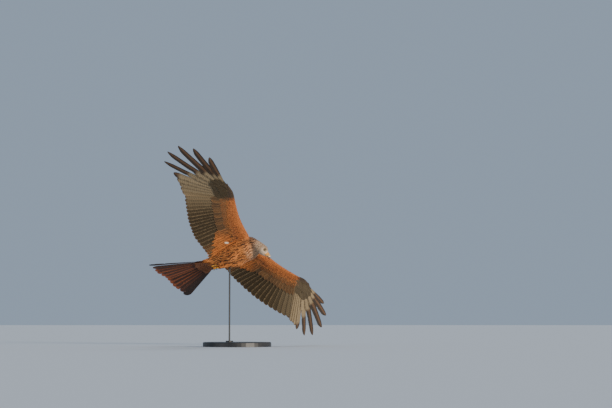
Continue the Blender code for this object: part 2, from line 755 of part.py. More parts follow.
# Tail: a fan of vanes round the tail's root, the middle pair on top, with coverts over and under.
TAIL = (
    Matrix.Translation(TAIL_ROOT)
    @ Matrix.Rotation(radians(TAIL_TURN), 4, "Z")
    @ Matrix.Rotation(radians(TAIL_RISE), 4, "Y")
    @ Matrix.Rotation(radians(TAIL_ROLL), 4, "X")
)
TAIL_ROWS = [
    (0.0, 0.25, 0.25),
    (0.3, 0.76, 0.76),
    (0.95, 0.74, 0.74),
    (1.0, 0.40, 0.40),
]
TAIL_COVERT_ROWS = [(0.0, 0.3, 0.3), (0.55, 0.75, 0.75), (1.0, 0.35, 0.35)]


def tail_point(fan, s, height):
    """A point of the fan: fan runs from -1 at its right edge to 1 at its left."""
    turn = radians(TAIL_HALF_FAN) * fan
    arch = TAIL_ARCH * (1 - fan * fan)
    return Vector((-cos(turn) * s, TAIL_ROOT_HALF_WIDTH * fan + sin(turn) * s, height + arch))


def tail_vane(name, fan, spacing, reach, rows, level):
    """One tail feather. Each half of the tail slopes down outwards, one LAYER for each feather."""
    side = 1 if fan > 0 else -1
    sheets = []
    for half in (VANE / 2, -VANE / 2):
        sheet = []
        for share, inward, outward in rows:
            s = reach[0] + (reach[1] - reach[0]) * share
            line = []
            for step in (-inward, outward):
                rank = (abs(fan) - 0.5 * spacing) / spacing
                height = level - LAYER * (rank + step) + half
                line.append(tail_point(fan + side * step * spacing, s, height))
            sheet.append(line)
        sheets.append(sheet)
    return plate(name, *sheets)


def make_tail():
    bm = bmesh.new()
    end = torso_ring(TORSO_ROWS[-1][0])
    rings = [[point - AHEAD * GAP for point in end]]
    for s, wide, thick in TAIL_CORE:
        ring = ellipse_ring(Vector((-s, 0, 0.001)), LEFT, UP, wide, thick, thick, TORSO_POINTS)
        rings.append([TAIL @ point for point in ring])
    loft(bm, rings)
    tail = mesh_object("tail", bm, TAIL_BROWN)
    pieces = []
    spacing = 2 / (2 * TAIL_PAIRS - 1)
    for pair in range(TAIL_PAIRS):
        share = pair / (TAIL_PAIRS - 1)
        length = TAIL_INNER + (TAIL_OUTER - TAIL_INNER) * share**1.4
        for side in (1, -1):
            fan = side * (pair + 0.5) * spacing
            # The right half lies one half LAYER under the left, so that the middle pair can cross.
            level = 0.0 if side > 0 else -LAYER / 2
            pieces.append(tail_vane("rectrix", fan, spacing, (0.006, length), TAIL_ROWS, level))
    for level in TAIL_COVERT_LEVELS:
        for k in range(TAIL_COVERTS):
            fan = (k - (TAIL_COVERTS - 1) / 2) * TAIL_COVERT_SPACING
            reach = (TAIL_COVERT_REACH[0], TAIL_COVERT_REACH[1] - 0.02 * abs(fan))
            pieces.append(tail_vane("tail_covert", fan, TAIL_COVERT_SPACING, reach, TAIL_COVERT_ROWS, level))
    for piece in pieces:
        piece.data.transform(TAIL)
    fuse(tail, pieces)
    return tail


make_tail()


def make_leg(label, side):
    """Thigh, then the tarsus with its closed toes and claws, folded back under the tail."""
    line = [mirrored(point, side) for point in THIGH_LINE]
    points = [line[0].lerp(line[1], k / 2) for k in range(2)]
    points += [line[1].lerp(line[2], k / 3) for k in range(4)]
    thigh = tube(f"thigh_{label}", points, THIGH_RADII, 10, RUFOUS)
    cut(thigh, [torso_room])
    root = mirrored(TARSUS_END, side)
    along = (root - line[2]).normalized()
    ankle = line[2] + along * ANKLE_GAP
    foot = tube(f"foot_{label}", [ankle, ankle.lerp(root, 0.5), root], TARSUS_RADII, 8, YELLOW)
    pieces = []
    for turn, length in TOES:
        out = along.copy()
        out.rotate(Matrix.Rotation(radians(turn), 3, "Z"))
        toe = [root - out * 0.003, root + out * length * 0.55, root + out * length - UP * 0.002,
               root + out * (length + 0.001) - UP * 0.006, root + out * (length - 0.004) - UP * 0.010]
        pieces.append(tube("toe", toe, TOE_RADII, 6))
    hind = [root + UP * 0.001, root - UP * 0.006]
    hind += [root - UP * 0.009 + along * 0.004, root - UP * 0.010 + along * 0.010]
    pieces.append(tube("hind_toe", hind, HIND_TOE_RADII, 6))
    fuse(foot, pieces)


for label, side in (("left", 1), ("right", -1)):
    make_leg(label, side)

# Posing: the bird is banked and lifted as one.
TURNS = Euler((radians(ROLL), radians(-PITCH), radians(HEADING)), "XYZ")
BIRD = Matrix.Translation(BIRD_PLACE) @ TURNS.to_matrix().to_4x4()
for obj in KITE.objects:
    obj.data.transform(BIRD)

# Stand: a round base with a chamfered rim, and a rod with a small foot that ends in the bird.


def turned(name, profile, centre, sides, finish):
    """A solid of revolution about a vertical line, from (radius, height) pairs."""
    bm = bmesh.new()
    rings = []
    for radius, height in profile:
        middle = Vector((centre.x, centre.y, height))
        rings.append(ellipse_ring(middle, AHEAD, LEFT, radius, radius, radius, sides))
    loft(bm, rings)
    return mesh_object(name, bm, finish, smooth=30)


socket_top = BIRD @ ROD_MEETS + UP * ROD_DEPTH
rim = [(BASE_RADIUS, 0.0), (BASE_RADIUS, BASE_HEIGHT - BASE_EDGE), (BASE_RADIUS - BASE_EDGE, BASE_HEIGHT)]
turned("stand_base", rim, Vector(), 48, STAND_BLACK)
flange_low = BASE_HEIGHT + GAP
flange_top = flange_low + FLANGE_HEIGHT
profile = [(ROD_FLANGE, flange_low), (ROD_FLANGE, flange_top - FLANGE_EDGE),
           (ROD_FLANGE - FLANGE_EDGE, flange_top), (ROD_RADIUS, flange_top + GAP), (ROD_RADIUS, socket_top.z)]
turned("stand_rod", profile, socket_top, 12, STAND_BLACK)
room = ROD_RADIUS + GAP
socket_rows = [(room, SOCKET_BELOW), (room, socket_top.z + GAP)]
rod_socket = turned("rod_socket", socket_rows, socket_top, 12, None)
cut(torso, [as_cutter(rod_socket)])
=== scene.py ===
from math import acos, cos, pi, radians, sin, sqrt

import bmesh
import bpy
import numpy as np
from mathutils import Euler, Matrix, Vector
from mathutils.bvhtree import BVHTree
from mathutils.kdtree import KDTree


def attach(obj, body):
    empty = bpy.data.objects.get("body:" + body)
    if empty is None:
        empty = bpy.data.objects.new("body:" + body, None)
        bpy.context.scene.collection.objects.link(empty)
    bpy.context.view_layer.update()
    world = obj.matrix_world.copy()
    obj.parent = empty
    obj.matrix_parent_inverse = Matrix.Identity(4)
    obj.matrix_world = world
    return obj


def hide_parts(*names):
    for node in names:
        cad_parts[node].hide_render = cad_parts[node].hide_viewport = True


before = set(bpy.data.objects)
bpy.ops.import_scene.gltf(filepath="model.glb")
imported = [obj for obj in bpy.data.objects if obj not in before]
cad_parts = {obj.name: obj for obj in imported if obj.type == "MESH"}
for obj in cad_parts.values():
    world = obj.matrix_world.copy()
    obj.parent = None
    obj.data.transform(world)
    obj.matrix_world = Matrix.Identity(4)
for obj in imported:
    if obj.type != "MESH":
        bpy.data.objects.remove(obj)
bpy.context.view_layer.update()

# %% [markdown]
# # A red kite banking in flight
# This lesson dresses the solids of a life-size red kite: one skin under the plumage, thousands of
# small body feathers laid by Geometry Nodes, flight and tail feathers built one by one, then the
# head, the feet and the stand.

AHEAD, LEFT, UP = Vector((1, 0, 0)), Vector((0, 1, 0)), Vector((0, 0, 1))
SIDES = (("left", 1), ("right", -1))

# %% [markdown]
# ## The bird's own frame
# A bird is easiest to model level: X to its bill, Y to its left, Z to its back. One matrix then
# banks it over the stand, with the same three angles and place as the solids.

# %% Bank the bird
HEADING, PITCH, ROLL = -23.5, 20.3, -36.3
BIRD_PLACE = Vector((0.050, -0.020, 0.475))
BANK = Euler((radians(ROLL), radians(-PITCH), radians(HEADING)), "XYZ").to_matrix()
BIRD = Matrix.Translation(BIRD_PLACE) @ BANK.to_4x4()
LEVEL = BIRD.inverted()
print("the bird's nose points along", [round(c, 2) for c in BANK @ AHEAD])

# %% [markdown]
# ## Camera, floor and light
# The photograph looks up at the bird through a long lens. The bird is banked on its stand
# instead, so the camera stands low and level, far off, with a lens to match. The floor is a wide
# pale disc and the sky is the same pale tone, so no wall stands in the way from behind.

# %% Camera
scene = bpy.context.scene
LOOK_UP = radians(2.7)
DISTANCE, PIXELS_PER_METRE, FRAME_WIDTH = 7.6, 206.7, 612
BODY_OFFSET = Vector((-58.3, -44.1))
focal = PIXELS_PER_METRE * DISTANCE
camera = bpy.data.objects.new("camera", bpy.data.cameras.new("camera"))
camera.data.sensor_width = 36
camera.data.lens = focal / FRAME_WIDTH * 36
camera.location = BIRD_PLACE + Vector((0, -cos(LOOK_UP), -sin(LOOK_UP))) * DISTANCE
camera.rotation_euler = (pi / 2 + LOOK_UP - BODY_OFFSET.y / focal, 0, BODY_OFFSET.x / focal)
camera.data.clip_end = 200
scene.collection.objects.link(camera)
scene.camera = camera
print("camera looks from", [round(c, 2) for c in camera.location])

# %% [markdown]
# ## Node trees in few lines
# A material is a tree of nodes. Written out, each node takes a line to make it, some to set it and
# some to link it, so a small class takes that up, and the finishes below read like sums.

# %% Short ways to write a node tree
class Net:
    """A node tree with short ways to add to it. A value may be a socket, a number or a colour."""

    def __init__(self, tree):
        self.tree = tree

    def new(self, kind, **settings):
        node = self.tree.nodes.new(kind)
        for name, value in settings.items():
            setattr(node, name, value)
        return node

    def link(self, value, socket):
        self.tree.links.new(value, socket)

    def feed(self, sockets, *values):
        """Links or sets each socket in turn."""
        for socket, value in zip(sockets, values):
            if isinstance(value, bpy.types.NodeSocket):
                self.link(value, socket)
            else:
                socket.default_value = (*value, 1) if socket.type == "RGBA" else value

    def math(self, operation, *values):
        node = self.new("ShaderNodeMath", operation=operation)
        self.feed(node.inputs, *values)
        return node.outputs[0]

    def times(self, *values):
        return self.math("MULTIPLY", *values)

    def times_plus(self, *values):
        return self.math("MULTIPLY_ADD", *values)

    def vectors(self, operation, *values, output=0):
        node = self.new("ShaderNodeVectorMath", operation=operation)
        self.feed((node.inputs[0], node.inputs["Scale" if operation == "SCALE" else 1]), *values)
        return node.outputs[output]

    def mix(self, factor, first, second, blend="MIX"):
        node = self.new("ShaderNodeMix", data_type="RGBA", blend_type=blend)
        self.feed([node.inputs[pin] for pin in (0, 6, 7)], factor, first, second)
        return node.outputs[2]

    def layers(self, colour, *coats):
        """Paints coats over a colour. Each coat is the mask that shows it, then its colour."""
        for mask, paint in coats:
            colour = self.mix(self.attribute(mask) if isinstance(mask, str) else mask, colour, paint)
        return colour

    def ramp(self, factor, low, high):
        """Maps low..high to 0..1 with a soft start and stop."""
        node = self.new("ShaderNodeMapRange", interpolation_type="SMOOTHSTEP")
        self.feed(node.inputs, factor, low, high)
        return node.outputs[0]

    def texture(self, kind, output, vector, scale, detail):
        node = self.new("ShaderNodeTex" + kind)
        self.feed([node.inputs[label] for label in ("Vector", "Scale", "Detail")], vector, scale, detail)
        return node.outputs[output]

    def noise(self, vector, scale, detail=2.0):
        return self.texture("Noise", "Fac", vector, scale, detail)

    def cells(self, vector, scale):
        return self.texture("Voronoi", "Distance", vector, scale, 2.0)

    def attribute(self, name):
        return self.new("ShaderNodeAttribute", attribute_name=name).outputs["Fac"]

    def place(self):
        return self.new("ShaderNodeTexCoord").outputs["Object"]

    def unwrapped(self):
        return self.new("ShaderNodeUVMap", uv_map="UVMap").outputs[0]

    def split(self, vector):
        node = self.new("ShaderNodeSeparateXYZ")
        self.link(vector, node.inputs[0])
        return node.outputs

    def join(self, *values):
        node = self.new("ShaderNodeCombineXYZ")
        self.feed(node.inputs, *values)
        return node.outputs[0]

    def dimmed(self, colour, light):
        """A colour multiplied by one number."""
        grey = self.new("ShaderNodeCombineColor")
        self.feed(grey.inputs[:3], light, light, light)
        return self.mix(1.0, colour, grey.outputs[0], "MULTIPLY")

    def group(self, tree, **values):
        node = self.new("ShaderNodeGroup", node_tree=tree)
        self.feed([node.inputs[label.replace("_", " ")] for label in values], *values.values())
        return node.outputs

    def bump(self, height, strength, distance, shader):
        node = self.new("ShaderNodeBump")
        sockets = [node.inputs[label] for label in ("Strength", "Distance", "Height")]
        self.feed(sockets, strength, distance, height)
        self.link(node.outputs[0], shader.inputs["Normal"])


print("the class has", len([n for n in vars(Net) if n[0] != "_"]), "short ways")

# %% Materials and meshes
def new_material(name, roughness, **settings):
    """A material, its node tree and its shader, with constants set on the shader's own sockets."""
    made = bpy.data.materials.new(name)
    made.use_nodes = True
    shader = made.node_tree.nodes["Principled BSDF"]
    for label, value in dict(settings, Roughness=roughness).items():
        shader.inputs[label.replace("_", " ")].default_value = value
    return made, Net(made.node_tree), shader


def place_mesh(name, points, faces, material, uv=None, smooth=True):
    """Makes a mesh object at the origin from points in the shared frame."""
    mesh = bpy.data.meshes.new(name)
    mesh.from_pydata([tuple(p) for p in points], [], [tuple(f) for f in faces])
    if uv is not None:
        layer = mesh.uv_layers.new(name="UVMap")
        layer.data.foreach_set("uv", np.asarray(uv, np.float32).ravel())
    if smooth:
        mesh.shade_smooth()
    mesh.materials.append(material)
    obj = bpy.data.objects.new(name, mesh)
    scene.collection.objects.link(obj)
    return obj


def face_outward(mesh):
    bm = bmesh.new()
    bm.from_mesh(mesh)
    bmesh.ops.recalc_face_normals(bm, faces=bm.faces)
    bm.to_mesh(mesh)
    bm.free()


def circle(count):
    """Cosine and sine at even steps of a full turn."""
    return [(cos(2 * pi * k / count), sin(2 * pi * k / count)) for k in range(count)]


print("a circle of four:", [(round(x), round(y)) for x, y in circle(4)])

# %% Floor and studio light
def sun_light(name, azimuth, elevation, strength, softness, colour=(1, 1, 1)):
    """Light from far off. Azimuth 0 comes from the camera's side and 90 from its right."""
    light = bpy.data.objects.new(name, bpy.data.lights.new(name, "SUN"))
    light.data.energy, light.data.angle, light.data.color = strength, radians(softness), colour
    a, e = radians(azimuth), radians(elevation)
    toward = Vector((sin(a) * cos(e), -cos(a) * cos(e), sin(e)))
    light.rotation_euler = toward.to_track_quat("Z", "Y").to_euler()
    light.location = BIRD_PLACE + toward * 4
    scene.collection.objects.link(light)


floor_finish, net, shader = new_material("studio_floor", 0.85)
shader.inputs["Base Color"].default_value = (0.68, 0.71, 0.74, 1)
FLOOR_RADIUS, FLOOR_SIDES = 60.0, 96
ring = [(FLOOR_RADIUS * x, FLOOR_RADIUS * y, 0) for x, y in circle(FLOOR_SIDES)]
floor = place_mesh("floor", ring, [range(FLOOR_SIDES)], floor_finish, smooth=False)
world = bpy.data.worlds.new("pale_studio")
scene.world = world
world.use_nodes = True
world.node_tree.nodes["Background"].inputs[0].default_value = (0.46, 0.58, 0.74, 1)
world.node_tree.nodes["Background"].inputs[1].default_value = 0.62
sun_light("key", 45, 8, 4.3, 12, (1.0, 0.90, 0.76))
sun_light("fill", -50, 14, 0.45, 25, (0.96, 0.97, 1.0))
sun_light("top", 160, 62, 0.35, 25)
print(f"camera lens {camera.data.lens:.1f} mm, {DISTANCE} m away")

# %% [markdown]
# ## The plan of a wing
# Every feather of a wing belongs to a quill: a root, a direction, the wing's upward normal there
# and a length. Ten primaries root on the hand, thirteen secondaries on the forearm and a few
# tertials on the upper arm. A place such as 12.5 lies between quills 12 and 13, so one surface
# carries all that grows on the wing. The sizes are those of the solids. The head has a frame of its
# own too, because it is turned down and to its left.

# %% Measures of the wings and the head
SHOULDER = Vector((0.012, 0.050, 0.015))
HUMERUS, ULNA, ARM_REACH = 0.120, 0.138, 0.2546
PRIMARY_ROOTS = [0.100, 0.094, 0.087, 0.078, 0.068, 0.057, 0.046, 0.035, 0.024, 0.012]
PRIMARY_LENGTHS = [0.250, 0.349, 0.405, 0.410, 0.379, 0.306, 0.278, 0.261, 0.250, 0.240]
PRIMARIES, SECONDARIES, TERTIALS, FINGERS = 10, 13, 4, 6
SECONDARY_LENGTH, OUTER_SECONDARY_BONUS, TERTIAL_SHORTENING = 0.217, 0.015, 0.003
TIP_BEND, TRAILING_DROOP = 0.05, -0.05
WING_ANGLES = {
    "left": dict(side=1, arm=(23.6, -10.0), hand=(1.9, 17.5), twist=(4.8, -38.0), inner=7.8,
                 fan=[7.6, 13.3, 20.5, 29.5, 37.0, 45.7, 55.0]),
    "right": dict(side=-1, arm=(17.5, 5.5), hand=(17.5, -12.4), twist=(0.0, -1.0), inner=3.7,
                  fan=[6.3, 13.5, 20.6, 29.2, 37.7, 43.8, 61.2]),
}
HEAD_PLACE = Vector((0.0842, 0.0032, -0.0536))
HEAD_FORWARD = Vector((0.520, 0.468, -0.715)).normalized()
HEAD_RIGHT = Vector((0.256, -0.867, -0.423))
HEAD_RIGHT = (HEAD_RIGHT - HEAD_FORWARD * HEAD_RIGHT.dot(HEAD_FORWARD)).normalized()
HEAD_UP = HEAD_RIGHT.cross(HEAD_FORWARD)
HEAD = Matrix.Translation(HEAD_PLACE) @ Matrix((HEAD_FORWARD, -HEAD_RIGHT, HEAD_UP)).transposed().to_4x4()
print("the head looks along", [round(c, 2) for c in BANK @ HEAD_FORWARD])

# %% Quills
def ease(values, low, high):
    """0 below low, 1 above high, and a soft slope between."""
    t = np.clip((values - low) / (high - low), 0, 1)
    return t * t * (3 - 2 * t)


def lean(side, sweep, rise):
    """Out to one side, swept back and raised by two angles."""
    return Vector((sin(sweep) * cos(rise), side * cos(sweep) * cos(rise), sin(rise)))


def chord_back(span, twist):
    """The direction back across a wing, square to its span and turned about it."""
    normal = (UP - span * UP.dot(span)).normalized()
    back = normal.cross(span)
    if back.x > 0:
        back = -back
    back.rotate(Matrix.Rotation(twist, 3, span))
    return back


def upward(a, b):
    normal = a.cross(b).normalized()
    return normal if normal.z > 0 else -normal


class Quill:
    def __init__(self, root, along, normal, length, bend):
        self.root, self.along, self.length, self.bend = root, along, length, bend
        self.normal = (normal - along * normal.dot(along)).normalized()

    def at(self, s):
        return self.root + self.along * s + self.normal * (self.bend * s * abs(s) / self.length)


def wing_plan(angles):
    side = angles["side"]
    shoulder = Vector((SHOULDER.x, side * SHOULDER.y, SHOULDER.z))
    arm = lean(side, *(radians(a) for a in angles["arm"]))
    hand = lean(side, *(radians(a) for a in angles["hand"]))
    arm_twist, hand_twist = (radians(a) for a in angles["twist"])
    wrist = shoulder + arm * ARM_REACH
    at_elbow = acos((HUMERUS**2 + ARM_REACH**2 - ULNA**2) / (2 * HUMERUS * ARM_REACH))
    back = chord_back(arm, arm_twist)
    elbow = shoulder + (arm * cos(at_elbow) + back * sin(at_elbow)) * HUMERUS
    arm_normal = upward(back, arm)
    hand_back = chord_back(hand, hand_twist)
    hand_normal = upward(hand_back, hand)
    quills, fan = [], angles["fan"]
    for k in range(PRIMARIES):
        share = max(k - FINGERS + 1, 0) / (PRIMARIES - FINGERS)
        turn = radians(fan[min(k, FINGERS - 1)] + (fan[-1] - fan[-2]) * share)
        along = hand * cos(turn) + hand_back * sin(turn)
        bend = TIP_BEND if k < 5 else TIP_BEND * (1 - (k - 4) / 5)
        quills.append(Quill(wrist + hand * PRIMARY_ROOTS[k], along, hand_normal, PRIMARY_LENGTHS[k], bend))
    outer, turn = quills[-1].along, radians(angles["inner"])
    inner = Vector((-cos(turn), side * sin(turn), 0))
    inner = (inner - arm_normal * inner.dot(arm_normal)).normalized()
    for k in range(SECONDARIES):
        t = k / (SECONDARIES - 1)
        root = wrist.lerp(elbow, 0.03 + 0.97 * t)
        along = outer.lerp(inner, t).normalized()
        length = SECONDARY_LENGTH + OUTER_SECONDARY_BONUS * (1 - t) ** 2
        quills.append(Quill(root, along, hand_normal.lerp(arm_normal, t), length, TRAILING_DROOP))
    for k in range(TERTIALS):
        root = elbow.lerp(shoulder, (k + 1) / (TERTIALS + 1))
        length = SECONDARY_LENGTH - TERTIAL_SHORTENING * (k + 1)
        quills.append(Quill(root, inner, arm_normal, length, TRAILING_DROOP))
    return dict(quills=quills, shoulder=shoulder, wrist=wrist, hand=hand, hand_back=hand_back)


print("a straight quill, 0.1 m out:", [round(c, 2) for c in Quill(Vector(), -AHEAD, UP, 0.2, 0.0).at(0.1)])

# %% The surface between the quills
def quills_beside(quills, place):
    """The two quills beside a place, and how far it is from the first towards the second."""
    low = min(max(int(place), 0), len(quills) - 2)
    return quills[low], quills[low + 1], place - low


def surface(quills, place, s):
    first, second, share = quills_beside(quills, place)
    return first.at(s).lerp(second.at(s), share)


def heading(quills, place, name="normal"):
    """The wing's normal at a place, or the direction of its quills for the name "along"."""
    first, second, share = quills_beside(quills, place)
    return getattr(first, name).lerp(getattr(second, name), min(max(share, 0), 1)).normalized()


WINGS = {label: wing_plan(angles) for label, angles in WING_ANGLES.items()}
print("quills a wing:", len(WINGS["left"]["quills"]))

# %% [markdown]
# ## One skin
# Under the feathers a bird is one unbroken skin. Copies of the solids of torso, neck, head and
# thighs are thickened a little so that they overlap, the flesh of the wings and of the tail's root
# is lofted again, and a voxel remesh turns all of it into one surface. It is then smoothed and
# drawn in by about the depth of the plumage, so that no seam shows between the nodes.

# %% The flesh of a wing and the frame of the tail
# Places along the flesh of a wing. The border lies between the primaries and the secondaries.
BORDER = PRIMARIES - 0.5
FLESH_PLACES = np.concatenate([np.linspace(-0.45, 9.5, 12), np.linspace(10, 28.2, 24)])
TAIL_ROOT = Vector((-0.186, 0.0, 0.004))
TAIL_TURN, TAIL_RISE, TAIL_ROLL = 0.5, 2.5, 10.0
TAIL = (Matrix.Translation(TAIL_ROOT) @ Matrix.Rotation(radians(TAIL_TURN), 4, "Z")
        @ Matrix.Rotation(radians(TAIL_RISE), 4, "Y") @ Matrix.Rotation(radians(TAIL_ROLL), 4, "X"))
VOXEL, OVERLAP = 0.0018, 0.0005


def front_edge(wing, place):
    """The wing's leading edge: along the hand, then from the wrist to the shoulder."""
    wrist_front = wing["wrist"] + AHEAD * 0.013 + wing["hand"] * 0.004
    if place <= BORDER:
        share = 1 - place / BORDER
        tip_front = wing["wrist"] + wing["hand"] * (PRIMARY_ROOTS[0] + 0.006) - wing["hand_back"] * 0.010
        return wrist_front.lerp(tip_front, share) - wing["hand_back"] * 0.005 * sin(pi * share)
    share = (place - BORDER) / (len(wing["quills"]) + 0.2 - BORDER)
    ahead = 0.013 - 0.011 * sin(pi * min(share, 1)) + 0.013 * share
    return wing["wrist"].lerp(wing["shoulder"], share) + AHEAD * ahead


def core_section(wing, place):
    """A ring round the flesh of the wing, thickest at the roots of the quills."""
    quills = wing["quills"]
    if place <= BORDER:
        share = place / BORDER
        depth, thick = 0.032 + 0.006 * share, 0.0055 + 0.0020 * share
    else:
        share = (place - BORDER) / (len(quills) - BORDER)
        depth, thick = 0.038 + 0.004 * share, 0.0075 + 0.0065 * share**2
    front, root = front_edge(wing, place), surface(quills, place, 0.0)
    middle, behind = (surface(quills, place, depth * s) for s in (0.55, 1.0))
    line = [front, front.lerp(root, 0.4), root, middle, behind]
    normal, shape, thinnest = heading(quills, place), [0.34, 0.85, 1.0, 0.62, 0.1], 0.0016
    upper = [point + normal * max(thick * share, thinnest) for point, share in zip(line, shape)]
    lower = [point - normal * max(thick * share * 0.9, thinnest) for point, share in zip(line, shape)]
    return upper + lower[::-1]

# %% Lofts and copies of solids
def closed_grid(rings, ends=True):
    """Faces between rings of points, and fans that close the two ends."""
    points = [point for ring in rings for point in ring]
    width, faces = len(rings[0]), []
    for j in range(len(rings) - 1):
        for k in range(width):
            nxt = (k + 1) % width
            faces.append((j * width + k, j * width + nxt, (j + 1) * width + nxt, (j + 1) * width + k))
    if ends:
        for start, ring in ((0, rings[0]), ((len(rings) - 1) * width, rings[-1])):
            middle = len(points)
            points.append(sum(ring, Vector()) / width)
            faces += [(start + k, start + (k + 1) % width, middle) for k in range(width)]
    return points, faces


def lofted(rings):
    """Closed flesh through rings of points, taken from the bird's frame to the shared one."""
    bm, (points, faces) = bmesh.new(), closed_grid(rings)
    corners = [bm.verts.new(point) for point in points]
    for face in faces:
        bm.faces.new([corners[k] for k in face])
    bmesh.ops.recalc_face_normals(bm, faces=bm.faces)
    bmesh.ops.transform(bm, matrix=BIRD, verts=bm.verts)
    return bm


def node_copy(name, below=0.0):
    """A merged copy of a solid, thickened a little, and more on its underside away from the head."""
    down, head_at = -(BANK @ UP), BIRD @ HEAD_PLACE
    bm = bmesh.new()
    bm.from_mesh(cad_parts[name].data)
    bmesh.ops.remove_doubles(bm, verts=bm.verts, dist=1e-6)
    bm.normal_update()
    for v in bm.verts:
        share = ease(v.normal.dot(down), -0.2, 0.6) * ease((v.co - head_at).length, 0.022, 0.050)
        v.co += v.normal * (OVERLAP + below * share)
    return bm


def oval(centre, wide, tall, points=24):
    return [centre + LEFT * wide * y + UP * tall * z for y, z in circle(points)]


print("an oval has", len(oval(Vector(), 1, 1)), "points")

# %% Gather the flesh of every part
# The tail's flesh: distance back from its root, half width and half height.
tail_sizes = [(-0.02, 0.034, 0.024), (0.014, 0.034, 0.020), (0.032, 0.036, 0.0115), (0.052, 0.038, 0.004)]
tail_rings = [[TAIL @ p for p in oval(Vector((-s, 0, 0.001)), wide, tall)] for s, wide, tall in tail_sizes]
flesh = {name: node_copy(name) for name in ("torso", "head", "thigh_left", "thigh_right")}
flesh["neck"] = node_copy("neck", 0.0042)
flesh["tail"] = lofted(tail_rings)
for label, side in SIDES:
    # Feathered legs: the thigh's plumage runs on over the shank, so that only the toes show. The
    # rows give the middle of the leg and its radius.
    shank = [(-0.100, 0.019, -0.0440, 0.0095), (-0.125, 0.0155, -0.0425, 0.0105),
             (-0.150, 0.0130, -0.0385, 0.0095), (-0.168, 0.0110, -0.0355, 0.0070)]
    flesh["shank_" + label] = lofted([oval(Vector((x, side * y, z)), r, r, 16) for x, y, z, r in shank])
for label, wing in WINGS.items():
    flesh["wing_" + label] = lofted([core_section(wing, place) for place in FLESH_PLACES])
trees = {name: BVHTree.FromBMesh(bm) for name, bm in flesh.items()}
print("flesh:", ", ".join(flesh))

# %% One surface over all of it
mesh = bpy.data.meshes.new("skin")
gathered = bmesh.new()
for bm in flesh.values():
    part = bpy.data.meshes.new("flesh")
    bm.to_mesh(part)
    gathered.from_mesh(part)
    bpy.data.meshes.remove(part)
    bm.free()
gathered.to_mesh(mesh)
gathered.free()
skin = bpy.data.objects.new("skin", mesh)
scene.collection.objects.link(skin)
remesh = skin.modifiers.new("one surface", "REMESH")
remesh.mode, remesh.voxel_size = "VOXEL", VOXEL
soften = skin.modifiers.new("soften", "SMOOTH")
soften.factor, soften.iterations = 0.5, 9


def as_plain_mesh(obj):
    """Applies an object's modifiers to a plain mesh and removes them."""
    bpy.context.view_layer.update()
    result = bpy.data.meshes.new_from_object(obj.evaluated_get(bpy.context.evaluated_depsgraph_get()))
    obj.modifiers.clear()
    obj.data = result
    result.name = obj.name
    return result


skin_mesh = as_plain_mesh(skin)
skin_mesh.shade_smooth()
print("skin:", len(skin_mesh.vertices), "points,", len(skin_mesh.polygons), "faces")

# %% [markdown]
# ## Where each kind of feather grows
# A feather's lie, length and colour change over the body, so the skin carries them as attributes
# that the Geometry Nodes read. Each point asks which solids are near, and blends their rules by
# nearness, so that the lie flows from the bill over the neck to the tail with no border. Round the
# neck the skin is evened out first, because plumage hides the step between neck and breast there.

# %% How near each solid is to every point of the skin
EYE_RADIUS, EYE_PLACE = 0.0066, Vector((0.0105, 0.0178, 0.0040))
NEARNESS = 0.004
THIGH_DIRECTION = Vector((-0.97, -0.10, -0.02))
# Columns of the table of a wing: direction of the quill, its place, and how far out along it.
QUILL_LIE, QUILL_PLACE, QUILL_REACH = slice(3, 6), 9, 10


def read(mesh, name):
    values = np.empty(len(mesh.vertices) * 3, np.float32)
    mesh.vertices.foreach_get(name, values)
    return values.reshape(-1, 3)


def turn_all(matrix, points):
    """Takes an array of points through a 4x4 matrix."""
    m = np.array(matrix)
    return points @ m[:3, :3].T + m[:3, 3]


def relax(mesh, weight, rounds=90, step=0.6):
    """Evens out the skin where weight is high, as plumage does over a joint."""
    points = read(mesh, "co").astype(float)
    pairs = np.empty(len(mesh.edges) * 2, np.int32)
    mesh.edges.foreach_get("vertices", pairs)
    a, b = pairs.reshape(-1, 2).T
    number = len(points)
    degree = np.bincount(a, minlength=number) + np.bincount(b, minlength=number)
    for _ in range(rounds):
        sums = [np.bincount(a, points[b, k], number) + np.bincount(b, points[a, k], number) for k in range(3)]
        points += (np.stack(sums, 1) / degree[:, None] - points) * weight[:, None] * step
    mesh.vertices.foreach_set("co", points.astype(np.float32).ravel())
    mesh.update()


def nearest_to(tree, points, most=0.05):
    """How far each point is from a solid, or `most` if the solid is further off."""
    return np.array([tree.find_nearest(Vector(point), most)[3] or most for point in points])


where = read(skin_mesh, "co")
apart = {name: nearest_to(trees[name], where) for name in ("neck", "wing_left", "wing_right")}
beside_wing = np.minimum(apart["wing_left"], apart["wing_right"])
relax(skin_mesh, (1 - ease(apart["neck"], 0.006, 0.024)) * ease(beside_wing, 0.003, 0.012))
where = read(skin_mesh, "co")
outward = read(skin_mesh, "normal")
bird = turn_all(LEVEL, where)
bird_out = outward @ np.array(BANK)
in_head = turn_all(HEAD.inverted(), bird)
near = {name: np.exp(-nearest_to(tree, where) / NEARNESS) for name, tree in trees.items()}
total = sum(near.values())
share = {name: weight / total for name, weight in near.items()}
print("share of the torso:", round(float(share["torso"].mean()), 2))

# %% [markdown]
# ### Where on the wing is a point?
# The skin of a wing doesn't know its quills, so sample points of the wing's middle surface are put
# in a table with what is known there. Each point of the skin takes the row nearest to it.

# %% A table of each wing
def wing_table(wing):
    """Sample points of a wing's middle surface, with the quill's direction and normal at each."""
    rows, quills = [], wing["quills"]
    for place in np.arange(-0.5, 28.4, 0.25):
        along, normal = heading(quills, place, "along"), heading(quills, place)
        for s in np.arange(-0.020, 0.056, 0.008):
            rows.append((*surface(quills, place, s), *along, *normal, place, s))
    return np.array(rows)


def kd_tree(points):
    tree = KDTree(len(points))
    for k, point in enumerate(points):
        tree.insert(point, k)
    tree.balance()
    return tree


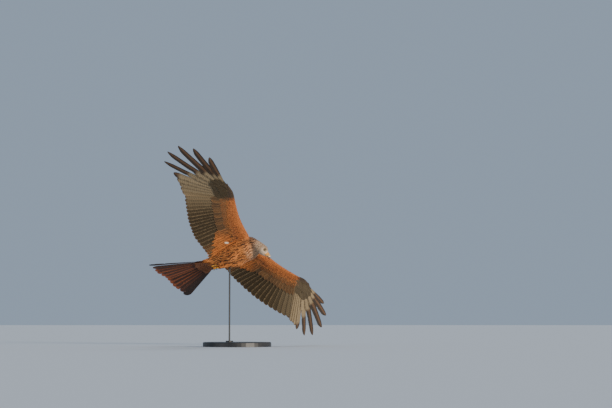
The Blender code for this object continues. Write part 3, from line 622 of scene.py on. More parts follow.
def on_wings(rule):
    """A rule of the wings' facts, each wing weighted by its share of the skin."""
    return sum(share["wing_" + label] * rule(facts) for label, facts in wing_facts.items())


count = len(where)
wing_facts = {}
for label, wing in WINGS.items():
    rows = wing_table(wing)
    tree = kd_tree(rows[:, :3])
    nearest = np.array([tree.find(point)[1] for point in bird])
    wing_facts[label] = rows[nearest]


print("rows for the skin of each wing:", len(wing_facts["left"]))

# %% Lie and length of the feathers
face = ease(in_head[:, 0], -0.012, 0.024)
directions = {"torso": -AHEAD, "neck": (-HEAD_FORWARD - AHEAD * 0.9).normalized(), "head": -HEAD_FORWARD,
              "tail": TAIL.to_3x3() @ -AHEAD}
lies = {name: np.tile(np.array(direction), (count, 1)) for name, direction in directions.items()}
lengths = {
    "torso": 0.024 + 0.006 * ease(-bird[:, 0], -0.02, 0.08),
    "neck": np.full(count, 0.014) - 0.005 * ease(-in_head[:, 2], 0.004, 0.018),
    "head": 0.0085 - 0.0045 * face,
    "tail": np.full(count, 0.034),
}
for part, length in (("thigh_", 0.024), ("shank_", 0.020)):
    for label, side in SIDES:
        lies[part + label] = np.tile(np.array(THIGH_DIRECTION) * (1, side, 1), (count, 1))
        lengths[part + label] = np.full(count, length)
for label, facts in wing_facts.items():
    # At the leading edge the wing's face turns forward, so the lie runs out along the edge.
    span = np.array((WINGS[label]["wrist"] - WINGS[label]["shoulder"]).normalized())
    head_on = np.clip(np.abs(np.sum(facts[:, QUILL_LIE] * bird_out, axis=1)), 0, 1) ** 1.5
    lies["wing_" + label] = facts[:, QUILL_LIE] * (1 - head_on)[:, None] + span * head_on[:, None]
    depth = ease(facts[:, QUILL_REACH], -0.012, 0.022)
    root = ease(facts[:, QUILL_PLACE], 21.5, 26.5)
    lengths["wing_" + label] = (0.0085 + 0.0125 * depth) * (1 + 0.9 * root)
lie = sum(share[name][:, None] * lies[name] for name in lies)
length = sum(share[name] * lengths[name] for name in lengths)
head_on = np.abs(np.sum(lie * bird_out, axis=1)) / np.maximum(np.linalg.norm(lie, axis=1), 1e-6)
lie -= bird_out * np.sum(lie * bird_out, axis=1)[:, None]
lie /= np.maximum(np.linalg.norm(lie, axis=1), 1e-6)[:, None]
world_lie = lie @ np.array(BANK).T
wings_share = share["wing_left"] + share["wing_right"]
print("the lie is turned square to the skin at", count, "points")

# %% Curl over the round of the body
skin_tree = BVHTree.FromPolygons([Vector(p) for p in where], [tuple(p.vertices) for p in skin_mesh.polygons])
curl = np.zeros(count)
for k in range(count):
    point = Vector(where[k])
    tip = skin_tree.find_nearest(point + Vector(world_lie[k]) * float(length[k]) * 0.9)[0]
    curl[k] = -(tip - point).dot(Vector(outward[k])) / length[k]
curl = np.clip(curl, -0.08, 0.45)
lift = on_wings(lambda facts: ease(facts[:, QUILL_REACH], -0.002, 0.014))
curl = curl * (1 - wings_share) + wings_share * (np.clip(curl, -0.02, 0.2) * (1 - lift) - 0.15 * lift)
print(f"curl runs from {curl.min():.2f} to {curl.max():.2f}")

# %% Brows, and the skin drawn in under the coat
# Ridges of the brows shade the eyes.
for _, side in SIDES:
    start, end = np.array((-0.003, side * 0.0185, 0.0108)), np.array((0.0220, side * 0.0112, 0.0066))
    t = np.clip((in_head - start) @ (end - start) / np.sum((end - start) ** 2), 0, 1)
    off = np.linalg.norm(in_head - start - t[:, None] * (end - start), axis=1)
    rise = 0.0022 * np.exp(-((off / 0.0032) ** 2))
    out = np.array(BANK @ (HEAD.to_3x3() @ Vector((0.1, side * 0.9, 0.4))))
    where += out * rise[:, None]

# The skin is drawn in under the coat: least where the wing's flesh is thin.
inset = 0.0020 * (1 - wings_share) + 0.0005 * wings_share
inset *= 1 - 0.55 * share["head"] * face
where -= outward * inset[:, None]
skin_mesh.vertices.foreach_set("co", where.astype(np.float32).ravel())
skin_mesh.update()
print(f"feather lengths run from {length.min() * 1000:.1f} to {length.max() * 1000:.1f} mm")

# %% [markdown]
# ## What a feather's finish is made of
# A feather is a shaft with barbs to both sides, so its colour follows its own length: a dark
# streak down the shaft, a paler rim, fine barbs that catch the light. Two shader groups hold
# this. One serves the small body feathers and reads their UV map, and the other serves the large
# vanes and reads the distances that their builder wrote on every vertex.

# %% Shader group for small feathers
def new_group(name, inputs, outputs):
    tree = bpy.data.node_groups.new(name, "ShaderNodeTree")
    for kind, direction, sockets in (("in", "INPUT", inputs), ("out", "OUTPUT", outputs)):
        for label, value in sockets.items():
            socket_type = "NodeSocketColor" if isinstance(value, tuple) else "NodeSocketFloat"
            socket = tree.interface.new_socket(label, in_out=direction, socket_type=socket_type)
            socket.default_value = (*value, 1) if isinstance(value, tuple) else value
    net = Net(tree)
    return tree, net, net.new("NodeGroupInput").outputs, net.new("NodeGroupOutput").inputs


BLACK = (0.0, 0.0, 0.0)
small_marks, net, given, result = new_group(
    "small_feather_marks",
    {"Base": BLACK, "Streak": BLACK, "Rim": BLACK, "Streak Width": 0.2, "Streak Strength": 0.8,
     "Streak Line": 0.0, "Rim Strength": 0.5},
    {"Colour": BLACK, "Height": 0.0},
)
u, along, _ = net.split(net.unwrapped())
across = net.math("ABSOLUTE", net.times_plus(u, 2.0, -1.0))
chance = net.attribute("chance")
wide = net.times(given["Streak Width"], net.times_plus(chance, 0.6, 0.7))
streak = net.ramp(net.math("SUBTRACT", wide, across), -0.10, 0.10)
streak = net.times(streak, net.ramp(along, 0.22, 0.45))
# About half of the feathers show their streak well, and all of the grey ones do.
other = net.math("FRACT", net.times(chance, 7.3))
pick = net.math("MAXIMUM", net.ramp(other, 0.50, 0.62), net.attribute("grey_part"))
streak = net.times(net.times(streak, net.times_plus(pick, 0.70, 0.30)), given["Streak Strength"])
streak = net.math("MAXIMUM", streak, given["Streak Line"])
rim = net.math("MAXIMUM", net.ramp(across, 0.55, 0.95), net.ramp(along, 0.80, 0.99))
barbs = net.math("SINE", net.times(net.math("SUBTRACT", along, across), 150.0))
shade = net.times(net.times_plus(barbs, 0.045, 0.96), net.times_plus(chance, 0.36, 0.82))
colour = net.layers(given["Base"], (net.times(rim, given["Rim Strength"]), given["Rim"]),
                    (streak, given["Streak"]))
net.feed((result["Colour"], result["Height"]), net.dimmed(colour, shade), barbs)
print("group", small_marks.name, "puts out", [socket.name for socket in result if socket.name])

# %% Shader group for large vanes
large_marks, net, given, result = new_group(
    "large_feather_marks",
    {"Base": BLACK, "Bars": BLACK, "Tip": BLACK, "Rim": BLACK, "Bar Spacing": 0.018, "Bar Strength": 0.5,
     "Tip Reach": 0.02, "Tip Strength": 0.5, "Rim Strength": 0.5, "Rim Start": 0.8},
    {"Colour": BLACK, "Height": 0.0},
)
along, tip, across, chance = (net.attribute(name) for name in ("along", "tip", "across", "chance"))
beside = net.math("ABSOLUTE", across)
slant = net.times_plus(beside, 0.006, along)
turns = net.math("ADD", net.math("DIVIDE", slant, given["Bar Spacing"]), chance)
wave = net.math("SINE", net.times(turns, 2 * pi))
spread = [net.times(value, scale) for value, scale in ((along, 90.0), (across, 1.3), (chance, 40.0))]
broken = net.noise(net.join(*spread), 1.0, 3.0)
wave = net.math("ADD", wave, net.times_plus(broken, 2.4, -1.2))
bars = net.times(net.ramp(wave, -0.1, 0.9), given["Bar Strength"])
full = net.math("MAXIMUM", net.math("SUBTRACT", given["Tip Reach"], 0.026),
                net.times(given["Tip Reach"], 0.35))
tip_part = net.times(net.ramp(tip, given["Tip Reach"], full), given["Tip Strength"])
# The rim is worn: noise breaks it up.
rim = net.math("DIVIDE", net.math("SUBTRACT", beside, given["Rim Start"]), 0.20)
rim = net.math("MAXIMUM", net.ramp(rim, 0.0, 1.0), net.ramp(tip, 0.0045, 0.0010))
rim = net.times(rim, net.times_plus(net.ramp(broken, 0.40, 0.60), 0.65, 0.35))
barbs = net.math("SINE", net.times(net.times_plus(beside, -0.012, along), 6300.0))
shaft = net.ramp(beside, 0.07, 0.02)
colour = net.layers(given["Base"], (bars, given["Bars"]), (tip_part, given["Tip"]),
                    (net.times(rim, given["Rim Strength"]), given["Rim"]),
                    (net.times(shaft, 0.55), (0.035, 0.022, 0.014)))
shade = net.times(net.times_plus(barbs, 0.05, 0.96), net.times_plus(chance, 0.24, 0.88))
height = net.math("ADD", barbs, net.times(shaft, 3.0))
net.feed((result["Colour"], result["Height"]), net.dimmed(colour, shade), height)
print("group", large_marks.name, "puts out", [socket.name for socket in result if socket.name])

# %% [markdown]
# ## Markings of the body
# A red kite is orange-rufous with a dark streak down each feather. Its head is pale grey with thin
# streaks, its breast beside the neck is buff, and the small coverts along the wing are rufous on
# their underside and browner on top. The streaks of feathers that lie in rows join into long wavy
# lines down the body. The skin and the feathers read the same masks.

# %% Masks on the skin
def write(mesh, name, values, kind="FLOAT"):
    """Stores an attribute on a mesh's points."""
    layer, field = mesh.attributes.new(name, kind, "POINT"), "vector" if kind == "FLOAT_VECTOR" else "value"
    layer.data.foreach_set(field, np.asarray(values, np.float32).ravel())


head_share, neck_share, tail_share = share["head"], share["neck"], share["tail"]
thigh_share = sum(share[name] for name in ("thigh_left", "thigh_right", "shank_left", "shank_right"))
eyes = [np.linalg.norm(in_head - np.array(EYE_PLACE) * (1, side, 1), axis=1) for _, side in SIDES]
eye_distance = np.minimum(*eyes)
behind_cere = 1 - ease(in_head[:, 0], 0.0235, 0.0265)
feathered = ease(eye_distance, EYE_RADIUS * 0.95, EYE_RADIUS * 1.20) * behind_cere
beside_neck = 1 - ease(apart["neck"], 0.003, 0.030)
grey_part = ease(in_head[:, 0], -0.074, -0.010) * np.maximum(head_share, beside_neck * (1 - wings_share))
# The top of the head is painted darker: painted shade of the crown's far side.
crown_part = ease(in_head[:, 2], 0.004, 0.017) * ease(in_head[:, 0], -0.030, -0.005) * head_share
rod = np.array([tuple(v.co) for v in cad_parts["stand_rod"].data.vertices])
off_rod = np.linalg.norm(where[:, :2] - (rod.min(0) + rod.max(0))[:2] / 2, axis=1)
off_rod = np.where(where[:, 2] < rod[:, 2].max() + 0.03, ease(off_rod, 0.007, 0.009), 1)
face_part = ease(in_head[:, 0], -0.010, 0.012) * head_share * ease(-in_head[:, 2], -0.014, 0.0)
buff_part = np.clip(ease(bird[:, 0], 0.005, 0.050) * (share["torso"] + neck_share) * (1 - grey_part), 0, 1)
top_part = ease(bird_out[:, 2], 0.05, 0.45)
wing_depth = wings_share * ease(on_wings(lambda facts: facts[:, QUILL_REACH]), 0.0, 0.02)
places = on_wings(lambda facts: facts[:, QUILL_PLACE]) / np.maximum(wings_share, 1e-6)
hand_part = wings_share * (1 - ease(places, 7.5, 11.0))
scaled = on_wings(lambda facts: ease(facts[:, QUILL_REACH], 0.016, 0.026))
sideways = 1 - ease(head_on, 0.80, 0.95)
regions = {
    "on_head": feathered * ease(head_share, 0.35, 0.6),
    "on_neck": ease(neck_share, 0.30, 0.5) * (1 - ease(head_share, 0.45, 0.65)) * feathered,
    "on_body": ease(share["torso"], 0.28, 0.45) * (1 - ease(neck_share, 0.5, 0.7)) * sideways * off_rod,
    "on_legs": ease(thigh_share, 0.35, 0.55) * sideways * off_rod * (1 - ease(-bird[:, 0], 0.150, 0.156)),
    "on_tail": ease(tail_share, 0.3, 0.5) * sideways * (1 - ease(-bird[:, 0], 0.205, 0.222)),
    "on_wing_left": ease(share["wing_left"], 0.3, 0.5) * (1 - scaled),
    "on_wing_right": ease(share["wing_right"], 0.3, 0.5) * (1 - scaled),
}
print("regions:", ", ".join(regions))

# %% Write the masks and unwrap the skin
masks = {"grey_part": grey_part, "face_part": face_part, "buff_part": buff_part, "top_part": top_part,
         "hand_part": hand_part, "crown_part": crown_part, "wing_part": wings_share, "deep_part": wing_depth,
         "tail_part": tail_share, "feather_length": length, "curl": curl, **regions}
for name, values in masks.items():
    write(skin_mesh, name, values)
write(skin_mesh, "lie", world_lie, "FLOAT_VECTOR")
write(skin_mesh, "chance", np.full(count, 0.5))
bpy.context.view_layer.objects.active = skin
skin.select_set(True)
bpy.ops.object.mode_set(mode="EDIT")
bpy.ops.mesh.select_all(action="SELECT")
bpy.ops.uv.smart_project(angle_limit=radians(66), island_margin=0.004)
bpy.ops.object.mode_set(mode="OBJECT")
skin_mesh.uv_layers[0].name = "unwrap"
print("masks on the skin:", ", ".join(masks))

# %% Colours of the body
def body_colours(net):
    """Base and rim colours of the body from the masks, shared by skin and feathers."""
    patches = net.ramp(net.noise(net.place(), 18.0, 3.0), 0.35, 0.65)
    base = net.layers(
        net.mix(patches, (0.74, 0.245, 0.054), (0.62, 0.185, 0.040)),
        ("tail_part", (0.56, 0.180, 0.038)), ("buff_part", (0.36, 0.150, 0.052)),
        ("wing_part", (0.44, 0.120, 0.026)),
        (net.times(net.attribute("top_part"), 0.75), (0.20, 0.078, 0.028)),
        (net.times(net.attribute("deep_part"), 0.8), (0.20, 0.072, 0.024)),
        (net.times(net.attribute("wing_part"), net.attribute("top_part")), (0.115, 0.050, 0.022)),
        ("hand_part", (0.058, 0.037, 0.019)), ("grey_part", (0.54, 0.35, 0.205)),
        # The crown's darker brown-grey is painted shade.
        (net.times(net.attribute("crown_part"), 0.60), (0.26, 0.165, 0.100)),
        ("face_part", (0.66, 0.48, 0.325)),
    )
    rim = net.layers((0.66, 0.26, 0.062), ("buff_part", (0.47, 0.225, 0.088)),
                     ("hand_part", (0.15, 0.092, 0.050)), ("grey_part", (0.56, 0.48, 0.38)))
    return base, rim

# %% Streaks that join into lines
BODY_MIDDLE, STREAK_ROWS = 0.03, 38.0


def streak_lines(net):
    """Dark shaft streaks of feathers that lie in rows join into long, wavy lines along the body."""
    turn, place = net.new("ShaderNodeMapping"), net.place()
    net.feed([turn.inputs[label] for label in ("Location", "Rotation", "Vector")],
             LEVEL.translation, LEVEL.to_euler("XYZ"), place)
    ahead_of, aside, over = net.split(turn.outputs[0])
    around = net.math("ARCTAN2", aside, net.math("SUBTRACT", BODY_MIDDLE, over))
    phase = net.times(around, STREAK_ROWS)
    for waves, turns, sway in ((62.0, 2.0, 1.6), (141.0, 5.0, 1.2)):
        wave = net.times_plus(around, turns, net.times(ahead_of, waves))
        phase = net.times_plus(net.math("SINE", wave), sway, phase)
    line = net.ramp(net.math("COSINE", phase), 0.12, 0.55)
    line = net.times(line, net.ramp(net.noise(place, 48.0), 0.43, 0.51))
    for mask, low, high in (("grey_part", 0.85, 0.35), ("wing_part", 0.5, 0.1), ("tail_part", 0.5, 0.1)):
        line = net.times(line, net.ramp(net.attribute(mask), low, high))
    return net.times(line, net.times_plus(net.attribute("chance"), 0.20, 0.78))

# %% Body plumage and the skin beneath it
plumage, net, shader = new_material("body_plumage", 0.72, Specular_IOR_Level=0.25, Sheen_Weight=0.08,
                                   Sheen_Roughness=0.5)
base, rim = body_colours(net)
streak_width = 0.30
for mask, more in (("grey_part", -0.06), ("face_part", -0.15), ("buff_part", 0.16), ("wing_part", 0.02)):
    streak_width = net.times_plus(net.attribute(mask), more, streak_width)
out = net.group(small_marks, Base=base, Rim=rim, Streak=(0.022, 0.010, 0.006), Streak_Width=streak_width,
                Streak_Strength=0.90, Rim_Strength=0.55, Streak_Line=streak_lines(net))
net.link(out["Colour"], shader.inputs["Base Color"])
net.bump(out["Height"], 0.35, 0.0003, shader)

down, net, shader = new_material("skin_and_down", 0.9)
base, rim = body_colours(net)
fluff = net.noise(net.place(), 420.0, 3.0)
shadow = net.times(net.times_plus(net.attribute("grey_part"), -0.55, 0.75), net.ramp(fluff, 0.40, 0.70))
net.link(net.mix(shadow, base, (0.05, 0.022, 0.010)), shader.inputs["Base Color"])
net.bump(fluff, 0.6, 0.0008, shader)
skin_mesh.materials.clear()
skin_mesh.materials.append(down)
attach(skin, "root")
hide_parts("torso", "neck", "head", "thigh_left", "thigh_right")
print("materials:", plumage.name, "and", down.name)

# %% [markdown]
# ## Small feathers by Geometry Nodes
# Over eight thousand feathers follow the skin, so a node tree lays them: points at an even spacing,
# one feather on each, turned so that its flat side faces out and its tip follows the lie. A last
# step bends every feather down with the curve of the body below it. One feather has 32 triangles.

# %% One feather to repeat
def rounded(share, start):
    """The share of the width that is left near a tip rounded from `start` on."""
    return sqrt(max(1 - max((share - start) / (1 - start), 0) ** 2, 0))


def unit_feather(name, wide, tip_start):
    """A feather of length 1 that lies along X with its outer face up, edges shared by both faces."""
    shares = [0.0, 0.30, 0.62, 0.86, 1.0]
    halves = [wide * (0.25 + 0.75 * min(share / 0.45, 1)) * rounded(share, tip_start) for share in shares]
    halves[-1] = wide * 0.20
    points, uv_at, rows = [], [], []
    for share, half in zip(shares, halves):
        edge = share in (0.0, 1.0)
        row = [(share, -half, 0), (share, 0, 0.030), (share, half, 0)] + ([] if edge else [(share, 0, 0.012)])
        rows.append([len(points) + k for k in range(len(row))])
        points += row
        uv_at += [(0, share), (0.5, share), (1, share), (0.5, share)][: len(row)]
    faces = []
    for a, b in zip(rows, rows[1:]):
        faces += [(a[0], b[0], b[1], a[1]), (a[1], b[1], b[2], a[2])]
        low_a, low_b = a[3] if len(a) > 3 else a[1], b[3] if len(b) > 3 else b[1]
        faces += [(a[0], low_a, low_b, b[0]), (low_a, a[2], b[2], low_b)]
    mesh = bpy.data.meshes.new(name)
    mesh.from_pydata(points, [], faces)
    corners = [uv_at[loop.vertex_index] for loop in mesh.loops]
    mesh.uv_layers.new(name="UVMap").data.foreach_set("uv", np.array(corners, np.float32).ravel())
    write(mesh, "reach", [point[0] for point in points])
    face_outward(mesh)
    mesh.shade_smooth()
    mesh.set_sharp_from_angle(angle=radians(60))
    return bpy.data.objects.new(name, mesh)


broad_feather = unit_feather("broad_feather", 0.21, 0.50)
narrow_feather = unit_feather("narrow_feather", 0.145, 0.50)
print("one feather:", sum(len(f.vertices) - 2 for f in broad_feather.data.polygons), "triangles")


# %% The tree that lays them
def plumage_tree(patch=0.003):
    tree = bpy.data.node_groups.new("lay_small_feathers", "GeometryNodeTree")
    tree.interface.new_socket("Skin", in_out="INPUT", socket_type="NodeSocketGeometry")
    for label, kind, value in (
        ("Feather", "Object", None), ("Spacing", "Float", 0.006), ("Mask", "String", "on_body"),
        ("Length Scale", "Float", 1.0), ("Tip Lift", "Float", 0.05), ("Unrest", "Float", 0.10),
        ("Seed", "Int", 1), ("Finish", "Material", None),
    ):
        socket = tree.interface.new_socket(label, in_out="INPUT", socket_type="NodeSocket" + kind)
        if value is not None:
            socket.default_value = value
    tree.interface.new_socket("Feathers", in_out="OUTPUT", socket_type="NodeSocketGeometry")
    net = Net(tree)
    given, result = net.new("NodeGroupInput").outputs, net.new("NodeGroupOutput").inputs

    def named(name, kind="FLOAT"):
        node = net.new("GeometryNodeInputNamedAttribute", data_type=kind)
        net.feed([node.inputs["Name"]], name)
        return node.outputs["Attribute"]

    def store(geometry, name, value, kind="FLOAT", domain="POINT"):
        node = net.new("GeometryNodeStoreNamedAttribute", data_type=kind, domain=domain)
        net.feed([node.inputs[label] for label in ("Geometry", "Name", "Value")], geometry, name, value)
        return node.outputs["Geometry"]

    def random(kind, low, high, offset):
        """A draw for each feather. Every use has an offset of its own, so that no two agree."""
        node = net.new("FunctionNodeRandomValue", data_type=kind)
        seed = net.new("FunctionNodeIntegerMath", operation="ADD")
        net.feed(seed.inputs, given["Seed"], offset)
        low_pin, high_pin, output = {"FLOAT": (2, 3, 1), "FLOAT_VECTOR": (0, 1, 0)}[kind]
        net.feed([node.inputs[pin] for pin in (low_pin, high_pin, "Seed")], low, high, seed.outputs[0])
        return node.outputs[output]

    scatter = net.new("GeometryNodeDistributePointsOnFaces", distribute_method="POISSON")
    sockets = ("Mesh", "Distance Min", "Density Max", "Density Factor", "Seed")
    crowded = 1e6  # so many a square metre that only the spacing sets them apart
    net.feed([scatter.inputs[label] for label in sockets],
             given["Skin"], given["Spacing"], crowded, named(given["Mask"]), given["Seed"])
    points = store(scatter.outputs["Points"], "out", scatter.outputs["Normal"], "FLOAT_VECTOR")
    points = store(points, "chance", random("FLOAT", 0.0, 1.0, 11))
    face_out = net.new("FunctionNodeAxesToRotation", primary_axis="Z", secondary_axis="X")
    net.feed(face_out.inputs, named("out", "FLOAT_VECTOR"), named("lie", "FLOAT_VECTOR"))
    unrest, limits = given["Unrest"], []
    for sign in (-1.0, 1.0):
        tilt = net.times_plus(unrest, 0.25 * sign, net.times(given["Tip Lift"], -1.0))
        sway = net.times(unrest, sign)
        limits.append(net.join(sway, tilt, sway))
    turn = net.new("FunctionNodeEulerToRotation")
    net.link(random("FLOAT_VECTOR", *limits, 23), turn.inputs[0])
    rotate = net.new("FunctionNodeRotateRotation", rotation_space="LOCAL")
    net.feed(rotate.inputs, face_out.outputs[0], turn.outputs[0])
    size = net.times(named("feather_length"), random("FLOAT", 0.85, 1.12, 37))
    points = store(points, "size", net.times(size, given["Length Scale"]))
    feather = net.new("GeometryNodeObjectInfo")
    net.link(given["Feather"], feather.inputs["Object"])
    place = net.new("GeometryNodeInstanceOnPoints")
    net.feed([place.inputs[label] for label in ("Points", "Instance", "Rotation", "Scale")],
             points, feather.outputs["Geometry"], rotate.outputs[0], named("size"))
    real = net.new("GeometryNodeRealizeInstances")
    net.link(place.outputs[0], real.inputs[0])
    reach = named("reach")
    drop = net.times(net.times(reach, reach), named("curl"))
    drop = net.times(net.times(drop, named("size")), -1.0)
    bend = net.new("GeometryNodeSetPosition")
    net.feed((bend.inputs["Geometry"], bend.inputs["Offset"]),
             real.outputs[0], net.vectors("SCALE", named("out", "FLOAT_VECTOR"), drop))
    # Each feather has a small patch of the bake map round its own place on the skin.
    own = net.vectors("SUBTRACT", named("UVMap", "FLOAT_VECTOR"), (0.5, 0.5, 0.0))
    own = net.vectors("SCALE", own, patch)
    bake = net.vectors("ADD", named("unwrap", "FLOAT_VECTOR"), own)
    finish = net.new("GeometryNodeSetMaterial")
    net.feed((finish.inputs["Geometry"], finish.inputs["Material"]),
             store(bend.outputs[0], "OFBake", bake, "FLOAT2", "CORNER"), given["Finish"])
    net.link(finish.outputs[0], result[0])
    return tree


LAY_FEATHERS = plumage_tree()
print("tree", LAY_FEATHERS.name, "has", len(LAY_FEATHERS.nodes), "nodes")


# %% Lay them, region by region
def lay_feathers(name, slot, **values):
    obj = bpy.data.objects.new(name, skin_mesh.copy())
    scene.collection.objects.link(obj)
    modifier = obj.modifiers.new("feathers", "NODES")
    modifier.node_group = LAY_FEATHERS
    for item in LAY_FEATHERS.interface.items_tree:
        label = item.name.replace(" ", "_")
        if item.in_out == "INPUT" and label in values:
            modifier[item.identifier] = values[label]
    mesh = as_plain_mesh(obj)
    for spare in ("reach", "size", "out", "lie", "curl", "feather_length", "unwrap", *regions):
        if spare in mesh.attributes:
            mesh.attributes.remove(mesh.attributes[spare])
    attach(obj, "root")
    faces = len(mesh.polygons)
    print(name, "has", faces // 16, "feathers and", 2 * faces, "triangles")
    return obj


COAT = [  # name, slot, region, feather, spacing, length scale, tip lift, unrest
    ("head_feathers", "pale_grey_head_feathers", "on_head", narrow_feather, 0.00155, 1.15, 0.05, 0.10),
    ("neck_feathers", "pale_grey_head_feathers", "on_neck", narrow_feather, 0.0028, 1.30, 0.05, 0.14),
    ("body_feathers", "rufous_body_feathers", "on_body", broad_feather, 0.0046, 1.15, 0.04, 0.12),
    ("leg_feathers", "rufous_body_feathers", "on_legs", broad_feather, 0.0042, 1.0, 0.03, 0.12),
    ("vent_feathers", "rufous_body_feathers", "on_tail", broad_feather, 0.0055, 1.0, 0.0, 0.10),
    ("lesser_coverts_left", "rufous_body_feathers", "on_wing_left", broad_feather, 0.0036, 1.0, 0.04, 0.08),
    ("lesser_coverts_right", "rufous_body_feathers", "on_wing_right", broad_feather, 0.0036, 1.0, 0.04, 0.08),
]
for seed, (name, slot, mask, feather, spacing, scale, lift, unrest) in enumerate(COAT, 1):
    lay_feathers(name, slot, Feather=feather, Spacing=spacing, Mask=mask, Length_Scale=scale, Tip_Lift=lift,
                 Unrest=unrest, Seed=seed, Finish=plumage)

# %% [markdown]
# ## Large feathers, one by one
# Flight feathers have their own lengths, widths and notches, so each is built as a fine closed
# vane from rows of widths, on the surface between its quill and the next. Its trailing vane
# slides under or over the neighbour by one small layer. Each vertex remembers how far along and
# across its feather it is, and the materials draw shaft, barbs and bars from those numbers.

# %% Rows of widths
# Metres: the step between neighbours that lie on each other, a vane's edge, and the shaft's root.
LAYER, THIN, SHAFT = 0.0010, 0.00035, 0.0009
rng = np.random.default_rng(7)
# Rows give a share of the length, then the widths ahead of and behind the shaft, each as a share of
# the pitch between quills and as the most in metres.
FLIGHT_ROWS = [
    (0.0, (0.25, 0.003), (0.30, 0.004)), (0.2, (0.40, 0.008), (0.98, 0.029)),
    (0.6, (0.42, 0.010), (0.98, 0.031)), (0.90, (0.42, 0.010), (0.96, 0.029)),
    (1.0, (0.40, 0.008), (0.80, 0.020)),
]
FINGER_ROWS = [
    (0.0, (0.25, 0.003), (0.30, 0.004)), (0.15, (0.40, 0.009), (0.94, 0.028)),
    (0.42, (0.42, 0.011), (0.94, 0.032)), (0.54, (0.42, 0.0095), (0.94, 0.0215)),
    (0.86, (0.42, 0.0088), (0.94, 0.0170)), (1.0, (0.42, 0.006), (0.94, 0.011)),
]
COVERT_ROWS = [
    (0.0, (0.30, 0.004), (0.40, 0.006)), (0.35, (0.50, 0.011), (0.96, 0.022)),
    (0.8, (0.55, 0.012), (0.98, 0.024)), (1.0, (0.45, 0.010), (0.80, 0.018)),
]
ACROSS = [-1.0, -0.55, -0.1, 0.0, 0.1, 0.4, 0.7, 1.0]
print("points across a vane:", len(ACROSS))

# %% Widths between the rows
def width_at(rows, share, side):
    """A feather's width at a share of its length, as (share of the pitch, most in metres)."""
    for (s0, *w0), (s1, *w1) in zip(rows, rows[1:]):
        if share <= s1:
            t = (share - s0) / (s1 - s0)
            t = t * t * (3 - 2 * t) * 0.5 + t * 0.5
            return tuple(a + (b - a) * t for a, b in zip(w0[side], w1[side]))
    return rows[-1][1 + side]


print("a flight feather's middle:", [round(w, 3) for w in width_at(FLIGHT_ROWS, 0.5, 1)])

# %% Feathers gathered into one mesh
class Plumes:
    """Collects feathers, each a closed grid with its numbers, into one mesh."""

    def __init__(self, name):
        self.name, self.points, self.faces, self.uv, self.values, self.sheets = name, [], [], [], [], []

    def add(self, sheets, along, across, length, numbers):
        """sheets are the upper and lower grids of points. numbers ride on every vertex."""
        rows, cols = len(along), len(across)
        start = len(self.points)
        for under, sheet in enumerate(sheets):
            for j in range(rows):
                for i in range(cols):
                    self.points.append(sheet[j][i])
                    self.values.append((along[j], length - along[j], across[i], under, *numbers))
        size = rows * cols
        a, b = ([[start + u * size + j * cols + i for i in range(cols)] for j in range(rows)] for u in (0, 1))
        for j in range(rows - 1):
            for i in range(cols - 1):
                self.faces.append((a[j][i], a[j][i + 1], a[j + 1][i + 1], a[j + 1][i]))
                self.faces.append((b[j][i], b[j + 1][i], b[j + 1][i + 1], b[j][i + 1]))
            for i in (0, cols - 1):
                quad = (a[j][i], a[j + 1][i], b[j + 1][i], b[j][i])
                self.faces.append(quad if i == 0 else quad[::-1])
        for j in (0, rows - 1):
            for i in range(cols - 1):
                quad = (a[j][i], b[j][i], b[j][i + 1], a[j][i + 1])
                self.faces.append(quad if j == 0 else quad[::-1])
        self.sheets.append((start, rows, cols))

    def finish(self, matrix, material, slot, *replaced):
        """Makes the piece, with one strip of the bake map for each side of each feather."""
        points = turn_all(matrix, np.array([tuple(p) for p in self.points]))
        mesh = bpy.data.meshes.new(self.name)
        mesh.from_pydata(points.tolist(), [], self.faces)
        names = ("along", "tip", "across", "under", "chance", "pale", "inner")
        for name, column in zip(names, zip(*self.values)):
            write(mesh, name, column)
        strips = 2 * len(self.sheets)
        tiers = max(1, round(sqrt(strips / 8)))
        columns = -(-strips // tiers)
        spot = np.zeros((len(points), 2), np.float32)
        for k, (start, rows, cols) in enumerate(self.sheets):
            for u in (0, 1):
                cell = 2 * k + u
                x, y = cell % columns, cell // columns
                # Each strip keeps a small margin to the next.
                grid = np.stack(np.meshgrid(np.linspace(0.06, 0.94, cols), np.linspace(0.02, 0.98, rows)), -1)
                first = start + u * rows * cols
                spot[first:first + rows * cols] = ((grid + (x, y)) / (columns, tiers)).reshape(-1, 2)
        loops = np.empty(len(mesh.loops), np.int32)
        mesh.loops.foreach_get("vertex_index", loops)
        mesh.uv_layers.new(name="OFBake").data.foreach_set("uv", spot[loops].ravel())
        face_outward(mesh)
        mesh.shade_smooth()
        mesh.set_sharp_from_angle(angle=radians(50))
        mesh.materials.append(material)
        obj = bpy.data.objects.new(self.name, mesh)
        scene.collection.objects.link(obj)
        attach(obj, "root")
        if replaced:
            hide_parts(*replaced)
        triangles = sum(len(f.vertices) - 2 for f in mesh.polygons)
        print(self.name, "has", len(self.sheets), "feathers and", triangles, "triangles")

# %% One feather of the wing
def shaft_thick(a, share_of):
    """A vane is thin at its edges, and along its middle stands the shaft, thick at the root."""
    return THIN * (0.35 + 0.65 * (1 - abs(a))) + (SHAFT * (1 - 0.75 * share_of) if a == 0 else 0)


def worn(notches, share_of, reach):
    """How deep the edge is notched at a share of the length."""
    return max((depth * max(1 - abs(share_of - place) / reach, 0) for place, depth in notches), default=0)


def tip_shares(count, blunt=1.6):
    """Shares of the length from root to tip, closer together towards the tip."""
    return [1 - (1 - k / (count - 1)) ** blunt for k in range(count)]


